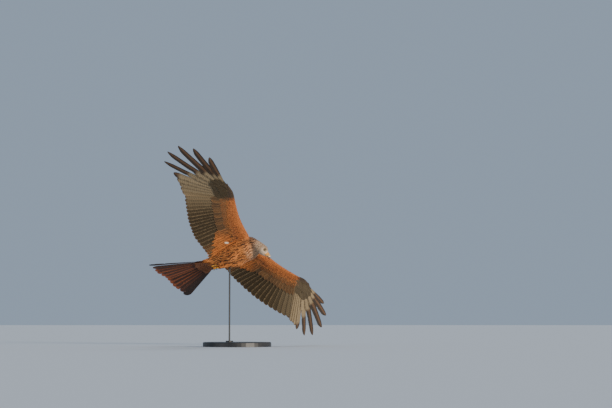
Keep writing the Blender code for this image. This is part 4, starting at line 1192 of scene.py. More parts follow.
def wing_feather(plumes, wing, k, reach, rows, level, steps=26, droop=0.0, tip_round=0.93, wander=0.05,
                 pale=0.0, crown=0.0006, ragged=0.0):
    """One feather on the wing's surface. level is its height over the middle surface."""
    quills = wing["quills"]
    start, end = reach
    low_k = min(max(int(k) - 1, 0), len(quills) - 3)
    high_k = low_k + 2
    drift = rng.uniform(-wander, wander)
    notches = [(rng.uniform(0.35, 0.9), rng.uniform(0.10, 0.35) * ragged) for _ in range(3)]
    along, sheets = [], ([], [])
    for share_of in tip_shares(steps):
        s = start + (end - start) * share_of
        along.append(s)
        pitch = (quills[low_k].at(s) - quills[high_k].at(s)).length / (high_k - low_k)
        round_off = rounded(share_of, tip_round)
        nick = worn(notches, share_of, 0.025)
        ahead_wide, ahead_most = width_at(rows, share_of, 0)
        behind_wide, behind_most = width_at(rows, share_of, 1)
        ahead_k = min(ahead_wide, ahead_most / pitch) * round_off
        behind_k = min(behind_wide, behind_most / pitch) * round_off * (1 - nick)
        lines = [], []
        for a in ACROSS:
            place = max(k + a * (ahead_k if a < 0 else behind_k) + drift * share_of, -1.0)
            arch = crown * (1 - a * a) - droop * share_of**2
            thick = shaft_thick(a, share_of)
            height = level + LAYER * (k - place) + (arch if level >= 0 else -arch)
            base, normal = surface(quills, place, s), heading(quills, place)
            for line, half in zip(lines, (0.5, -0.5)):
                line.append(base + normal * (height + thick * half))
        for sheet, line in zip(sheets, lines):
            sheet.append(line)
    plumes.add(sheets, along, ACROSS, end, (rng.uniform(), pale, min(k / 26, 1)))


# %% [markdown]
# ## Flight feathers
# Ten primaries, of which the outer ones are notched into fingers, thirteen secondaries and the
# tertials. One piece a wing holds them all, and it takes the place of the solids of the wing.

# %% Finish of the flight feathers
def vane_finish(name, roughness, slots):
    """A material for large vanes. slots maps each socket of the group to a function or a value."""
    made, net, shader = new_material(name, roughness, Specular_IOR_Level=0.25)
    values = {label: (make(net) if callable(make) else make) for label, make in slots.items()}
    out = net.group(large_marks, **values)
    net.link(out["Colour"], shader.inputs["Base Color"])
    net.bump(out["Height"], 0.3, 0.00015, shader)
    return made


def flight_base(net):
    """Grey-brown secondaries, a pale panel on the inner primaries, and darker colours on top."""
    pale = net.attribute("pale")
    below = net.mix(pale, (0.056, 0.038, 0.018), (0.31, 0.230, 0.130))
    beside_body = net.ramp(net.attribute("inner"), 0.93, 1.0)
    below = net.mix(beside_body, below, (0.200, 0.088, 0.032))
    above = net.mix(pale, (0.052, 0.030, 0.017), (0.040, 0.025, 0.016))
    return net.mix(net.attribute("under"), above, below)


def flight_bars(net):
    pale = net.attribute("pale")
    below = net.mix(pale, (0.022, 0.015, 0.008), (0.19, 0.140, 0.080))
    return net.mix(net.attribute("under"), (0.018, 0.012, 0.008), below)


def finger_colour(net):
    """Blackish, and browner along the shaft where light comes through."""
    beside = net.math("ABSOLUTE", net.attribute("across"))
    return net.mix(net.ramp(beside, 0.50, 0.15), (0.030, 0.020, 0.013), (0.125, 0.064, 0.031))


def flight_rim(net):
    """Buff rims on the secondaries, so that they look striped, and dark ones on the fingers."""
    inward = net.ramp(net.attribute("inner"), 0.18, 0.30)
    return net.mix(inward, (0.050, 0.032, 0.020), (0.190, 0.130, 0.068))


PANEL_FIRST, PANEL_STEP = 0.088, 0.0325


def finger_reach(net):
    """How much of the feather's end is dark: all of a finger past the pale panel, a rim elsewhere."""
    whole = net.math("ADD", net.attribute("along"), net.attribute("tip"))
    panel = net.times_plus(net.attribute("inner"), 26 * PANEL_STEP, PANEL_FIRST)
    panel = net.times_plus(net.attribute("chance"), 0.012, panel)
    return net.math("MAXIMUM", net.math("SUBTRACT", whole, panel), 0.009)


flight_finish = vane_finish("flight_feathers", 0.55, {
    "Base": flight_base, "Bars": flight_bars, "Tip": finger_colour, "Rim": flight_rim,
    "Bar_Spacing": 0.0105, "Bar_Strength": 0.60, "Tip_Reach": finger_reach, "Tip_Strength": 0.97,
    "Rim_Strength": 0.75, "Rim_Start": 0.62,
})
print("material:", flight_finish.name)

# %% Finish of the coverts
def covert_base(net):
    """Under the wing rufous medians over dark greaters, on top a pale band over dark greaters."""
    pale, hand = net.attribute("pale"), net.ramp(net.attribute("inner"), 0.42, 0.34)
    greater = net.mix(net.attribute("chance"), (0.100, 0.058, 0.028), (0.185, 0.088, 0.032))
    below = net.mix(pale, greater, (0.220, 0.084, 0.027))
    below = net.mix(hand, below, (0.082, 0.058, 0.028))
    above = net.mix(pale, (0.055, 0.032, 0.018), (0.21, 0.125, 0.062))
    above = net.mix(hand, above, (0.045, 0.027, 0.016))
    return net.mix(net.attribute("under"), above, below)


def covert_rim(net):
    hand = net.ramp(net.attribute("inner"), 0.42, 0.34)
    return net.mix(hand, (0.230, 0.125, 0.058), (0.120, 0.090, 0.050))


covert_finish = vane_finish("wing_coverts", 0.6, {
    "Base": covert_base, "Bars": (0.030, 0.019, 0.012), "Tip": covert_rim, "Rim": covert_rim,
    "Bar_Spacing": 0.0075, "Bar_Strength": 0.60, "Tip_Reach": 0.004, "Tip_Strength": 0.6,
    "Rim_Strength": 0.75, "Rim_Start": 0.58,
})
print("material:", covert_finish.name)

# %% Build the flight feathers
for label, wing in WINGS.items():
    plumes = Plumes("flight_feathers_" + label)
    for k, quill in enumerate(wing["quills"]):
        finger = k < FINGERS - 1
        rows = FINGER_ROWS if finger else FLIGHT_ROWS
        panel = float(ease(-k, -(PRIMARIES + 5.5), -(PRIMARIES - 5.0))) * 0.92
        # The innermost primary's panel is dimmed: painted shade, against the light its turned web catches.
        panel *= 0.55 if k == PRIMARIES - 1 else 1.0
        reach = (0.004, quill.length * rng.uniform(0.988, 1.0))
        wing_feather(plumes, wing, k, reach, rows, 0.0, steps=44, pale=panel, ragged=0.5,
                     tip_round=0.88 if finger else 0.92, wander=0.04)
    plumes.finish(BIRD, flight_finish, "barred_flight_feathers",
                  *(f"wing_{label}_{part}" for part in ("hand", "forearm", "arm")))

# %% [markdown]
# ## Greater and median coverts
# Over and under the roots of the flight feathers lie tiers of coverts: a greater one for each
# flight feather, and medians over their roots, a little more than one a quill.

# %% Build the covert tiers
GREATER_LEVEL, MEDIAN_LEVEL = 0.0026, 0.0046


def covert_share(k):
    """The share of a quill that its greater covert hides: least on the outer primaries."""
    return min(0.24 + 0.02 * k, 0.34) if k < PRIMARIES else 0.46


for label, wing in WINGS.items():
    quills = wing["quills"]
    for side, tier_side in ((1, "upper"), (-1, "under")):
        plumes = Plumes(f"coverts_{tier_side}_{label}")
        for k in range(len(quills)):
            length = quills[k].length * covert_share(k)
            wing_feather(plumes, wing, k, (0.006, length * rng.uniform(0.95, 1.0)), COVERT_ROWS,
                         side * GREATER_LEVEL, steps=20, tip_round=0.72, droop=0.0006)
        for k in np.arange(0.6, len(quills) - 0.2, 0.8):
            low = min(int(k), len(quills) - 1)
            length = quills[low].length * covert_share(k) * 0.60
            wing_feather(plumes, wing, float(k), (0.003, length * rng.uniform(0.92, 1.04)), COVERT_ROWS,
                         side * MEDIAN_LEVEL, steps=16, tip_round=0.66, pale=1.0, droop=0.0008)
        plumes.finish(BIRD, covert_finish, "barred_flight_feathers")

# %% [markdown]
# ## Feathers of the shoulder
# Where a wing meets the body, long soft feathers close the gap to the flank: axillaries below,
# scapulars above and a last few tertials between. They grow past the last quill, so the wing's
# surface is carried on inwards under the body's own plumage. A small pale spot marks the root of
# the right wing, so its place is written down and the finish measures how far each point is off.

# %% Finish of the shoulder
SHOULDER_ROWS = [
    (0.0, (0.30, 0.003), (0.40, 0.004)), (0.35, (0.60, 0.0075), (0.96, 0.0085)),
    (0.8, (0.60, 0.0080), (0.98, 0.0090)), (1.0, (0.45, 0.006), (0.80, 0.007)),
]
WHITE_SPOT = Vector((-0.0731, -0.0770, 0.0093))


def shoulder_base(net):
    """Rufous like the body beside it, browner above, and dark brown underneath on the outer and long
    feathers, partly their own brown and partly painted shade, with a dark streak on each shaft.
    """
    below = net.mix(net.attribute("chance"), (0.68, 0.215, 0.046), (0.56, 0.160, 0.036))
    # Where pale is low the underside is dark brown: partly the feathers' own brown, partly painted shade.
    below = net.mix(net.attribute("pale"), (0.135, 0.075, 0.034), below)
    above = net.mix(net.attribute("chance"), (0.15, 0.066, 0.030), (0.10, 0.042, 0.020))
    base = net.mix(net.attribute("under"), above, below)
    beside = net.math("ABSOLUTE", net.attribute("across"))
    streak = net.times(net.ramp(beside, 0.34, 0.14), 0.80)
    base = net.mix(streak, base, (0.030, 0.014, 0.008))
    place = net.place()
    squeezed = net.vectors("MULTIPLY", net.vectors("SUBTRACT", place, BIRD @ WHITE_SPOT), (1.0, 1.0, 2.3))
    reach = net.vectors("LENGTH", squeezed, output="Value")
    frayed = net.times_plus(net.noise(place, 330.0), 0.012, reach)
    spot = net.times(net.ramp(frayed, 0.0205, 0.0125), net.attribute("under"))
    return net.mix(spot, base, (0.90, 0.74, 0.55))


shoulder_finish = vane_finish("shoulder_feathers", 0.65, {
    "Base": shoulder_base, "Bars": (0.16, 0.050, 0.017), "Tip": (0.46, 0.165, 0.045),
    "Rim": (0.50, 0.190, 0.052), "Bar_Spacing": 0.013, "Bar_Strength": 0.10, "Tip_Reach": 0.008,
    "Tip_Strength": 0.5, "Rim_Strength": 0.6,
})
print("material:", shoulder_finish.name)

# %% Fill in between wing and flank
SHOULDER_TIERS = [  # level, first place, last place, step, length at the first and at the last
    (0.0, 26.9, 28.8, 0.62, 0.207, 0.175),
    (-0.0026, 22.8, 29.4, 0.34, 0.118, 0.186), (-0.0042, 23.2, 29.4, 0.34, 0.100, 0.166),
    (-0.0058, 23.8, 29.4, 0.34, 0.080, 0.135),
    (0.0026, 24.2, 29.2, 0.34, 0.130, 0.160), (0.0042, 24.0, 29.2, 0.34, 0.100, 0.130),
    (0.0058, 23.9, 28.9, 0.34, 0.070, 0.105),
]
RIGHT_REACH = 0.027
for label, wing in WINGS.items():
    plumes = Plumes("shoulder_feathers_" + label)
    for level, first, last, step, longest, shortest in SHOULDER_TIERS:
        # The raised right wing lays its innermost feathers out towards the tail.
        if label == "right" and level in (0.0, -0.0026):
            shortest += RIGHT_REACH
        for place in np.arange(first, last, step):
            share_in = (place - first) / (last - first)
            tip_at = (longest + (shortest - longest) * share_in) * rng.uniform(0.94, 1.04)
            if level > 0:
                tip_at *= 1 - 0.45 * ease(place, 28.0, 29.0)
            rows = COVERT_ROWS if level == 0 else SHOULDER_ROWS
            # Low pale on the long tier and the outer feathers gives them a dark brown underside, partly
            # painted shade.
            wing_feather(plumes, wing, float(place), (0.004, tip_at), rows, level, steps=20, tip_round=0.70,
                         droop=0.001 if level else 0.0, wander=0.25 if level else 0.05,
                         pale=float(ease(share_in, -0.20, 0.35)) if level else 0.0)
    plumes.finish(BIRD, shoulder_finish, "rufous_body_feathers")

# %% [markdown]
# ## Tail
# Six pairs of tail feathers fan from the tail's root, the middle pair on top. They turn in a plane
# of their own, so they are placed by an angle of the fan and a distance from the root.

# %% One feather of the tail
TAIL_HALF_FAN, TAIL_PAIRS = 28.9, 6
TAIL_INNER, TAIL_OUTER = 0.284, 0.316
SPACING = 2 / (2 * TAIL_PAIRS - 1)


def tail_point(fan, s, height):
    turn = radians(TAIL_HALF_FAN) * fan
    return Vector((-cos(turn) * s, 0.017 * fan + sin(turn) * s, height + 0.004 * (1 - fan * fan)))


def tail_feather(plumes, fan, spacing, reach, wide, level, steps, tip_round, droop=0.0, pale=0.0, ragged=0.0,
                 crown=0.0008):
    side = 1 if fan > 0 else -1
    rank = (abs(fan) - 0.5 * spacing) / spacing
    along, sheets = [], ([], [])
    drift = rng.uniform(-0.10, 0.10) * spacing
    tooth = rng.choice((-1, 1))
    nicks = [(rng.uniform(0.72, 0.97), rng.uniform(0.2, 0.5) * ragged) for _ in range(2)]
    for share_of in tip_shares(steps):
        s = reach[0] + (reach[1] - reach[0]) * share_of
        along.append(s)
        width = wide * (0.35 + 0.65 * min(share_of / 0.25, 1) ** 0.7) * rounded(share_of, tip_round)
        nick = worn(nicks, share_of, 0.03)
        lines = ([], [])
        for a in ACROSS:
            step = a * width * (1 - (nick if a * tooth > 0 else 0))
            arch = crown * (1 - a * a) - droop * share_of**2
            thick = shaft_thick(a, share_of)
            height = level - LAYER * (rank + step) + (arch if level >= -0.001 else -arch)
            for line, half in zip(lines, (0.5, -0.5)):
                at = fan + side * step * spacing + drift * share_of
                line.append(tail_point(at, s, height + thick * half))
        sheets[0].append(lines[0])
        sheets[1].append(lines[1])
    plumes.add(sheets, along, ACROSS, reach[1], (rng.uniform(), pale, abs(fan)))

# %% Finishes of the tail
def tail_base_and_shade(net):
    """Rufous on top; darker and browner below, partly dark outer webs and partly painted shade; blackish
    towards the outer pairs, painted shade.
    """
    outer = net.ramp(net.attribute("inner"), 0.62, 0.92)
    web = net.ramp(net.attribute("across"), -0.05, 0.30)
    rufous = net.mix(net.attribute("chance"), (0.300, 0.084, 0.024), (0.190, 0.052, 0.018))
    edge = net.ramp(net.math("ABSOLUTE", net.attribute("across")), 0.48, 0.74)
    below = net.mix(net.math("MAXIMUM", web, edge), rufous, (0.036, 0.014, 0.008))
    # The outer pairs go blackish underneath: painted shade.
    below = net.mix(outer, below, (0.024, 0.013, 0.009))
    # On top the outer pairs are a darker brown: painted shade.
    above = net.mix(outer, (0.34, 0.105, 0.028), (0.17, 0.060, 0.024))
    return net.mix(net.attribute("under"), above, below)


def tail_tip_and_shade(net):
    # The tips of the outer pairs are blackish: partly their own mark, partly painted shade.
    outer = net.ramp(net.attribute("inner"), 0.62, 0.92)
    return net.mix(outer, (0.27, 0.066, 0.020), (0.018, 0.013, 0.010))


def tail_covert_and_under_shade(net):
    # Underneath the coverts are a darker brown than on top: painted shade.
    return net.mix(net.attribute("under"), (0.30, 0.095, 0.026), (0.17, 0.062, 0.024))


tail_finish = vane_finish("tail_feathers", 0.55, {
    "Base": tail_base_and_shade, "Bars": (0.050, 0.022, 0.013), "Tip": tail_tip_and_shade, "Rim": (0.22, 0.090, 0.040),
    "Bar_Spacing": 0.016, "Bar_Strength": 0.25, "Tip_Reach": 0.022, "Tip_Strength": 0.6, "Rim_Strength": 0.35,
})
tail_covert_finish = vane_finish("tail_covert_feathers", 0.65, {
    "Base": tail_covert_and_under_shade, "Bars": (0.16, 0.052, 0.018), "Tip": (0.24, 0.090, 0.030),
    "Rim": (0.28, 0.110, 0.040), "Bar_Spacing": 0.02, "Bar_Strength": 0.2, "Tip_Reach": 0.01,
    "Tip_Strength": 0.5, "Rim_Strength": 0.5,
})
print("materials:", tail_finish.name, "and", tail_covert_finish.name)

# %% Build the tail feathers and the tail's coverts
# On the right side the two outermost feathers are narrower, so that sky shows between them.
NARROW_RIGHT = {4: 0.52, 5: 0.30}
plumes = Plumes("tail_feathers")
for pair in range(TAIL_PAIRS):
    length_of = TAIL_INNER + (TAIL_OUTER - TAIL_INNER) * (pair / (TAIL_PAIRS - 1)) ** 1.4
    for side in (1, -1):
        spread = NARROW_RIGHT.get(pair, 0.74) if side < 0 else 0.74
        reach = (0.006, length_of * rng.uniform(0.965, 1.0))
        tail_feather(plumes, side * (pair + 0.5) * SPACING, SPACING, reach, spread,
                     0.0 if side > 0 else -LAYER / 2, 44, 0.90, ragged=1.0)
plumes.finish(BIRD @ TAIL, tail_finish, "rufous_tail_feathers", "tail")
plumes = Plumes("tail_coverts")
for first_level, up in ((0.0040, 1), (-0.0070, -1)):
    for tier, (length_of, number, half) in enumerate(((0.105, 9, 0.80), (0.078, 8, 0.74), (0.056, 7, 0.66))):
        level = first_level + up * 0.0022 * tier
        for k in range(number):
            fan = (k / (number - 1) * 2 - 1) * half + 0.001
            reach = (0.010, (length_of - 0.014 * abs(fan)) * rng.uniform(0.94, 1.02))
            tail_feather(plumes, fan, 0.16, reach, 1.25, level, 14, 0.62, droop=0.001, pale=1.0)
plumes.finish(BIRD @ TAIL, tail_covert_finish, "rufous_tail_feathers")

# %% [markdown]
# ## Eyes
# A kite's eye is pale amber with a large black pupil under a jutting brow. The ball is turned
# round its line of sight, so that its UV map is a target: the pupil, the iris with its fine rays
# and the dark ring round it. Two rings of bare skin, the lids, close the gap to the plumage.

# %% Pieces of the head
def round_about(axis):
    """Two directions square to an axis and to each other."""
    first = axis.cross(UP).normalized()
    return first, axis.cross(first).normalized()


def head_piece(name, points, faces, material, slot, *replaced, subdivide=0, matrix=None, uv=None):
    """A piece from points in the head's frame, or in that of the matrix given, banked with the bird."""
    matrix = BIRD @ HEAD if matrix is None else matrix
    obj = place_mesh(name, [matrix @ Vector(p) for p in points], faces, material, uv=uv)
    face_outward(obj.data)
    if subdivide:
        modifier = obj.modifiers.new("smooth", "SUBSURF")
        modifier.levels = modifier.render_levels = subdivide
        as_plain_mesh(obj)
        obj.data.shade_smooth()
    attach(obj, "root")
    if replaced:
        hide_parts(*replaced)
    print(name, "has", len(obj.data.polygons), "faces")
    return obj


EYE_SIZE = 0.0060
LID_SIDES = 40
LID_ROWS = [  # radius, height over the eye's middle, share of the lip
    (0.0046, 0.0030, 1), (0.0049, 0.0040, 1), (0.0053, 0.0045, 1), (0.0059, 0.0041, 0.6),
    (0.0066, 0.0030, 0.25), (0.0076, 0.0014, 0), (0.0078, 0.0002, 0), (0.0058, 0.0005, 0),
]
print("rows of a lid:", len(LID_ROWS))

# %% Iris and bare skin
iris, net, shader = new_material("amber_iris", 0.12, Coat_Weight=1.0, Coat_Roughness=0.03)
uv = net.unwrapped()
stretch = net.new("ShaderNodeMapping")
net.feed((stretch.inputs["Scale"], stretch.inputs["Vector"]), (14.0, 3.0, 1.0), uv)
rays = net.ramp(net.noise(stretch.outputs[0], 5.0), 0.35, 0.65)
amber = net.mix(rays, (0.50, 0.30, 0.075), (0.66, 0.47, 0.17))
polar = net.split(uv)[1]
amber = net.layers(amber, (net.ramp(polar, 0.205, 0.160), (0.004, 0.003, 0.003)),
                   (net.ramp(polar, 0.315, 0.345), (0.020, 0.012, 0.008)))
net.link(amber, shader.inputs["Base Color"])

bare_skin, net, shader = new_material("bare_grey_skin", 0.5)
place = net.place()
pores = net.cells(place, 2400.0)
mottle = net.noise(place, 500.0)
net.link(net.mix(net.ramp(mottle, 0.35, 0.65), (0.045, 0.032, 0.022), (0.10, 0.070, 0.040)),
          shader.inputs["Base Color"])
net.bump(pores, 0.5, 0.0002, shader)
print("materials:", iris.name, "and", bare_skin.name)

# %% Eyeballs and lids
inner_skin = BVHTree.FromPolygons([Vector(p) for p in turn_all(HEAD.inverted() @ LEVEL, where)],
                                  [tuple(p.vertices) for p in skin_mesh.polygons])
for name, side in SIDES:
    gaze = Vector((0.34, side * 0.93, 0.06)).normalized()
    centre = Vector((0.0107, side * 0.0148, 0.0042))
    first, second = round_about(gaze)
    segments, rows = 32, 20
    points, uv_at = [centre + gaze * EYE_SIZE * 1.03], [(0.5, 0.0)]
    for j in range(1, rows):
        polar = pi * j / rows
        bulge = EYE_SIZE * (1 + 0.03 * max(cos(polar), 0) ** 4)
        for x, y in circle(segments):
            points.append(centre + gaze * bulge * cos(polar) + (first * x + second * y) * bulge * sin(polar))
            uv_at.append((0.5 + 0.5 * x, j / rows))
    points.append(centre - gaze * EYE_SIZE)
    uv_at.append((0.5, 1.0))
    faces = [(0, 1 + k, 1 + (k + 1) % segments) for k in range(segments)]
    for j in range(rows - 2):
        for k in range(segments):
            nxt, a = (k + 1) % segments, 1 + j * segments
            faces.append((a + k, a + segments + k, a + segments + nxt, a + nxt))
    last = 1 + (rows - 2) * segments
    faces += [(last + k, len(points) - 1, last + (k + 1) % segments) for k in range(segments)]
    corners = [uv_at[k] for face in faces for k in face]
    head_piece("eyeball_" + name, points, faces, iris, "pale_amber_eye", "eye_" + name, uv=corners)

    # Lids: from just on the ball, over a rounded margin, down to the skin round the socket.
    rings = []
    for radius, height, lip in LID_ROWS:
        ring = []
        for x, y in circle(LID_SIDES):
            out = first * x + second * y
            up_share = (out.z + 1) / 2
            flat = 1 - 0.16 * lip * abs(out.z) ** 2
            point = centre + out * radius * flat + gaze * height
            if lip < 0.5 and height > 0.001:
                hit = inner_skin.ray_cast(centre + out * radius + gaze * 0.03, -gaze)[0]
                if hit:
                    point = point.lerp(hit + gaze * 0.0002, 1 - 2 * lip)
            point += gaze * 0.0010 * lip * up_share
            ring.append(point)
        rings.append(ring)
    points, faces = closed_grid(rings, ends=False)
    base = (len(rings) - 1) * LID_SIDES
    faces += [(base + k, base + (k + 1) % LID_SIDES, (k + 1) % LID_SIDES, k) for k in range(LID_SIDES)]
    head_piece("lids_" + name, points, faces, bare_skin, "pale_grey_head_feathers", subdivide=1)

# %% [markdown]
# ## Cere and bill
# The upper bill grows out of a yellow, waxy cere that holds the nostrils. It is buff at its base
# and darkens to a black hook, and the lower bill fits inside its edge. Each is lofted from the
# rows of the solids, drawn through smoothly, with a yellow gape running back under the eye.

# %% Rows drawn through smoothly
def through(rows, count):
    """count rows on a smooth curve through the given rows of numbers."""
    rows = np.array(rows, float)
    padded = np.vstack([2 * rows[0] - rows[1], rows, 2 * rows[-1] - rows[-2]])
    made = []
    for x in np.linspace(0, len(rows) - 1, count):
        k = min(int(x), len(rows) - 2)
        t = x - k
        a, b, c, d = padded[k:k + 4]
        made.append(0.5 * (2 * b + (c - a) * t + (2 * a - 5 * b + 4 * c - d) * t**2
                           + (3 * b - a - 3 * c + d) * t**3))
    return np.array(made)

# %% Waxy yellow skin and horn
GAP = 0.0003
BILL_SIDES, GAPE_SIDES = 28, 12
BILL_START, MOUTH = 0.0265 + GAP, -0.0088
yellow, net, shader = new_material("waxy_yellow_skin", 0.38, Coat_Weight=0.25, Coat_Roughness=0.3)
place = net.place()
mottle = net.noise(place, 260.0, 3.0)
scales = net.cells(place, 900.0)
base = net.mix(net.ramp(mottle, 0.35, 0.7), (0.58, 0.215, 0.006), (0.70, 0.31, 0.014))
# Round the nostrils the attribute dark turns the cere near black: painted shade inside the holes.
base = net.mix(net.ramp(net.attribute("dark"), 0.1, 0.9), base, (0.05, 0.025, 0.010))
net.link(base, shader.inputs["Base Color"])
net.bump(scales, 0.35, 0.0003, shader)

horn, net, shader = new_material("horn_buff_to_black", 0.25, Coat_Weight=0.4, Coat_Roughness=0.15)
place = net.place()
grain = net.noise(place, 700.0, 3.0)
tone = net.ramp(net.times_plus(grain, 0.25, net.attribute("dark")), 0.35, 0.95)
net.link(net.mix(tone, (0.50, 0.31, 0.15), (0.018, 0.014, 0.012)), shader.inputs["Base Color"])
net.bump(grain, 0.15, 0.0002, shader)
print("materials:", yellow.name, "and", horn.name)

# %% Rings of the bill
def mark_dark(obj, rule):
    """Writes how dark each point of a piece is, from its place in the head's frame."""
    points = turn_all(HEAD.inverted() @ LEVEL, read(obj.data, "co"))
    write(obj.data, "dark", rule(points))


def rings_through(rows, count, point_of):
    """Rings round rows drawn through smoothly. y and z run round a circle from -1 to 1."""
    return [[point_of(y, z, *row) for y, z in circle(BILL_SIDES)] for row in through(rows, count)]


CERE_ROWS = [  # distance ahead of the skull, half width, top
    (-0.0015, 0.0104, 0.0074), (0.002, 0.0100, 0.0076), (0.005, 0.0088, 0.0068), (0.0085, 0.0076, 0.0058),
    (0.0105, 0.0069, 0.0050),
]
UPPER_ROWS = [  # ridge x and z, edge x and z, half width
    (0.0, 0.0051, 0.0, MOUTH, 0.0068), (0.0040, 0.0046, 0.0035, MOUTH - 0.0001, 0.0062),
    (0.0080, 0.0026, 0.0070, MOUTH + 0.0002, 0.0054), (0.0115, -0.0010, 0.0090, MOUTH - 0.0008, 0.0044),
    (0.0138, -0.0058, 0.0100, MOUTH - 0.0026, 0.0032), (0.0146, -0.0110, 0.0112, MOUTH - 0.0050, 0.0017),
    (0.0140, -0.0160, 0.0132, MOUTH - 0.0076, 0.0004),
]
LOWER_ROWS = [  # distance ahead of the skull, half width, depth
    (-0.001, 0.0094, 0.0054), (0.005, 0.0080, 0.0052), (0.0105, 0.0062, 0.0047), (0.0150, 0.0046, 0.0036),
    (0.0172, 0.0026, 0.0022),
]
nostrils = [(side, Vector((BILL_START + 0.0066, side * 0.0072, -0.0006))) for _, side in SIDES]
UPPER_START = BILL_START + 0.0105 + GAP * 0.2


def from_nostril(x, z):
    """Distance from a nostril, a slanting oval, as a share of its size."""
    return (x / 0.0021) ** 2 + ((z - 0.4 * x) / 0.0013) ** 2


def cere_point(y, z, x, wide, top):
    low = MOUTH + 0.0002
    if z > 0:
        point = Vector((x, wide * y, low + (top - low) * z))
    else:
        point = Vector((x, wide * y * (1 - 0.10 * z * z), low + 0.0006 * z))
    for side, nostril in nostrils:
        offset = point - nostril
        if point.y * side > 0:
            point.y -= side * 0.0021 * max(1 - from_nostril(offset.x, offset.z), 0)
    return point


def upper_point(y, z, ridge_x, ridge_z, edge_x, edge_z, wide):
    top, bottom = Vector((UPPER_START + ridge_x, 0, ridge_z)), Vector((UPPER_START + edge_x, 0, edge_z))
    return bottom.lerp(top, z**1.15 if z > 0 else 0.05 * z) + LEFT * max(wide, 0.0003) * y


def lower_point(y, z, x, wide, low):
    return Vector((x, wide * y, MOUTH - GAP - (low * z if z > 0 else -0.0004 * z)))


# The nostrils are painted dark: painted shade inside the holes.
def nostril_hole_shade(points):
    dark = np.zeros(len(points))
    for side, nostril in nostrils:
        off = from_nostril(points[:, 0] - nostril.x, points[:, 2] - nostril.z)
        dark = np.maximum(dark, np.where(points[:, 1] * side > 0, 1.15 - off, 0))
    return np.clip(dark, 0, 1)

# %% Cere, upper bill and lower bill
def bill_piece(name, rows, count, point_of, material, slot, replaced, dark):
    points, faces = closed_grid(rings_through(rows, count, point_of))
    mark_dark(head_piece(name, points, faces, material, slot, replaced, subdivide=1), dark)


cere_rows, lower_rows = (
    [(BILL_START + x, *sizes) for x, *sizes in rows] for rows in (CERE_ROWS, LOWER_ROWS))
bill_piece("cere_with_nostrils", cere_rows, 22, cere_point, yellow, "yellow_cere_and_feet", "cere",
           nostril_hole_shade)
bill_piece("upper_bill_hook", UPPER_ROWS, 34, upper_point, horn, "dark_horn", "upper_bill",
           lambda p: ease(p[:, 0] - UPPER_START - 0.55 * (p[:, 2] + 0.002), 0.0085, 0.0185))
bill_piece("lower_bill_edge", lower_rows, 22, lower_point, horn, "dark_horn", "lower_bill",
           lambda p: 0.15 + 0.75 * ease(p[:, 0], BILL_START + 0.006, BILL_START + 0.016))

# %% The gape, a yellow rim of skin from the bill back under the eye
for name, side in SIDES:
    rings = []
    for t in np.linspace(0, 1, 18):
        x = BILL_START + 0.004 - 0.0105 * t
        z = MOUTH - 0.0001 - 0.0022 * sin(pi * t) * 0.4 - 0.0008 * t
        hit = inner_skin.ray_cast(Vector((x, 0, z)), Vector((0, side, 0)))[0]
        y = abs(hit.y) + 0.0004 if hit and abs(hit.y) < 0.0145 else 0.0096
        y = y + (0.0088 - y) * (1 - min(t / 0.25, 1)) if x > BILL_START - 0.002 else y
        size = 0.0011 * sin(pi * (0.10 + 0.88 * t)) + 0.0002
        middle = Vector((x, side * y, z))
        rings.append([middle + LEFT * size * x + UP * size * 0.9 * y for x, y in circle(GAPE_SIDES)])
    points, faces = closed_grid(rings)
    gape = head_piece("gape_" + name, points, faces, yellow, "yellow_cere_and_feet")
    write(gape.data, "dark", np.zeros(len(gape.data.vertices)))

# %% [markdown]
# ## Feet
# In flight the toes lie closed under the tail's root, and only they show out of the feathered
# legs. Each toe is a tube that swells at its pads, with a curved black claw at its end.

# %% Claws, and tubes that swell
claw_black, net, shader = new_material("claw_black", 0.22)
place = net.place()
grain = net.noise(place, 900.0, 2.0)
net.link(net.mix(grain, (0.010, 0.009, 0.009), (0.030, 0.026, 0.022)), shader.inputs["Base Color"])
net.bump(grain, 0.1, 0.0002, shader)
THIGH_END, TARSUS_END = Vector((-0.120, 0.015, -0.0450)), Vector((-0.178, 0.0098, -0.0350))
TOES = [(-13, 0.019), (0, 0.024), (13, 0.019)]
# Claws curve down and back: how far along the toe and how far down, then the radii.
FRONT_CLAW = [(-0.0012, 0.0), (0.0014, 0.0016), (0.0012, 0.0050), (-0.0032, 0.0082)]
HIND_CLAW = [(0.0, 0.0050), (0.0012, 0.0078), (0.0052, 0.0096), (0.0100, 0.0098)]
FRONT_RADII, HIND_RADII = (0.0019, 0.0017, 0.0011, 0.0002), (0.0020, 0.0018, 0.0011, 0.0002)


def swept(points, radii, sides=14, count=20, swell=0.0, pads=4):
    """A tube through points; swell adds pads along it."""
    line = through([tuple(p) + (r,) for p, r in zip(points, radii)], count)
    rings = []
    for j, r in enumerate(line[:, 3]):
        here, nxt, before = (Vector(line[i][:3]) for i in (j, min(j + 1, count - 1), max(j - 1, 0)))
        along = (nxt - before).normalized()
        across = along.cross(UP).normalized()
        over = across.cross(along)
        r = max(r, 0.0002) * (1 + swell * abs(sin(pads * pi * j / (count - 1))))
        rings.append([here + (across * x + over * y) * r for x, y in circle(sides)])
    return closed_grid(rings)


print("toes of a foot:", len(TOES) + 1)

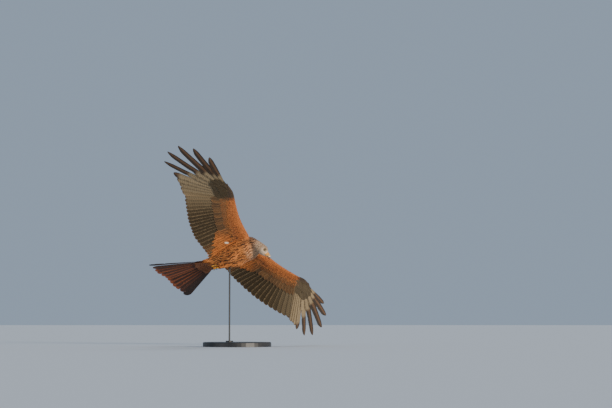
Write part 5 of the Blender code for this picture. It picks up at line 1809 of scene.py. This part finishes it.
# %% Toes and claws
for label, side in SIDES:
    start, root = (Vector((p.x, p.y * side, p.z)) for p in (THIGH_END, TARSUS_END))
    along = (root - start).normalized()
    tarsus = [start, start.lerp(root, 0.5), root, root + along * 0.003]
    skin_parts = [swept(tarsus, [0.0044, 0.0038, 0.0047, 0.0030])]
    claws = []
    for turn, length_of in TOES:
        out = along.copy()
        out.rotate(Matrix.Rotation(radians(turn), 3, "Z"))
        tip = root + out * length_of - UP * 0.0020
        toe = [root - out * 0.004, root + out * length_of * 0.5 + UP * 0.0004, tip]
        skin_parts.append(swept(toe, [0.0026, 0.0029, 0.0022], swell=0.10))
        claws.append(swept([tip + out * a - UP * b for a, b in FRONT_CLAW], FRONT_RADII))
    skin_parts.append(swept([root + UP * 0.001, root - UP * 0.006], [0.0028, 0.0024], swell=0.08, pads=2))
    claws.append(swept([root - UP * b + along * a for a, b in HIND_CLAW], HIND_RADII))
    pieces = (("toes_", skin_parts, yellow, ["foot_" + label]), ("claws_", claws, claw_black, []))
    for name, parts, material, replaced in pieces:
        points, faces = [], []
        for some_points, some_faces in parts:
            faces += [tuple(k + len(points) for k in face) for face in some_faces]
            points += some_points
        made = head_piece(name + label, points, faces, material, "yellow_cere_and_feet", *replaced,
                          matrix=BIRD)
        write(made.data, "dark", np.zeros(len(made.data.vertices)))

# %% [markdown]
# ## The stand
# The solids of the stand have the right shape already, so they stay and take a satin black
# finish: a fine powder-coat grain, a little dust in patches and a soft sheen.

# %% Finish of the stand
stand_black, net, shader = new_material("satin_black_stand", 0.42)
place = net.place()
grain = net.noise(place, 1400.0, 2.0)
wear = net.noise(place, 14.0, 5.0)
net.link(net.mix(net.ramp(wear, 0.35, 0.75), (0.017, 0.017, 0.018), (0.034, 0.033, 0.032)),
          shader.inputs["Base Color"])
rough = net.new("ShaderNodeMapRange")
net.link(wear, rough.inputs[0])
net.feed(rough.inputs[3:5], 0.34, 0.52)
net.link(rough.outputs[0], shader.inputs["Roughness"])
net.bump(grain, 0.25, 0.0002, shader)
for name in ("stand_base", "stand_rod"):
    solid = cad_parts[name]
    solid.data.materials.clear()
    solid.data.materials.append(stand_black)
print("the stand keeps its solids, with", stand_black.name)
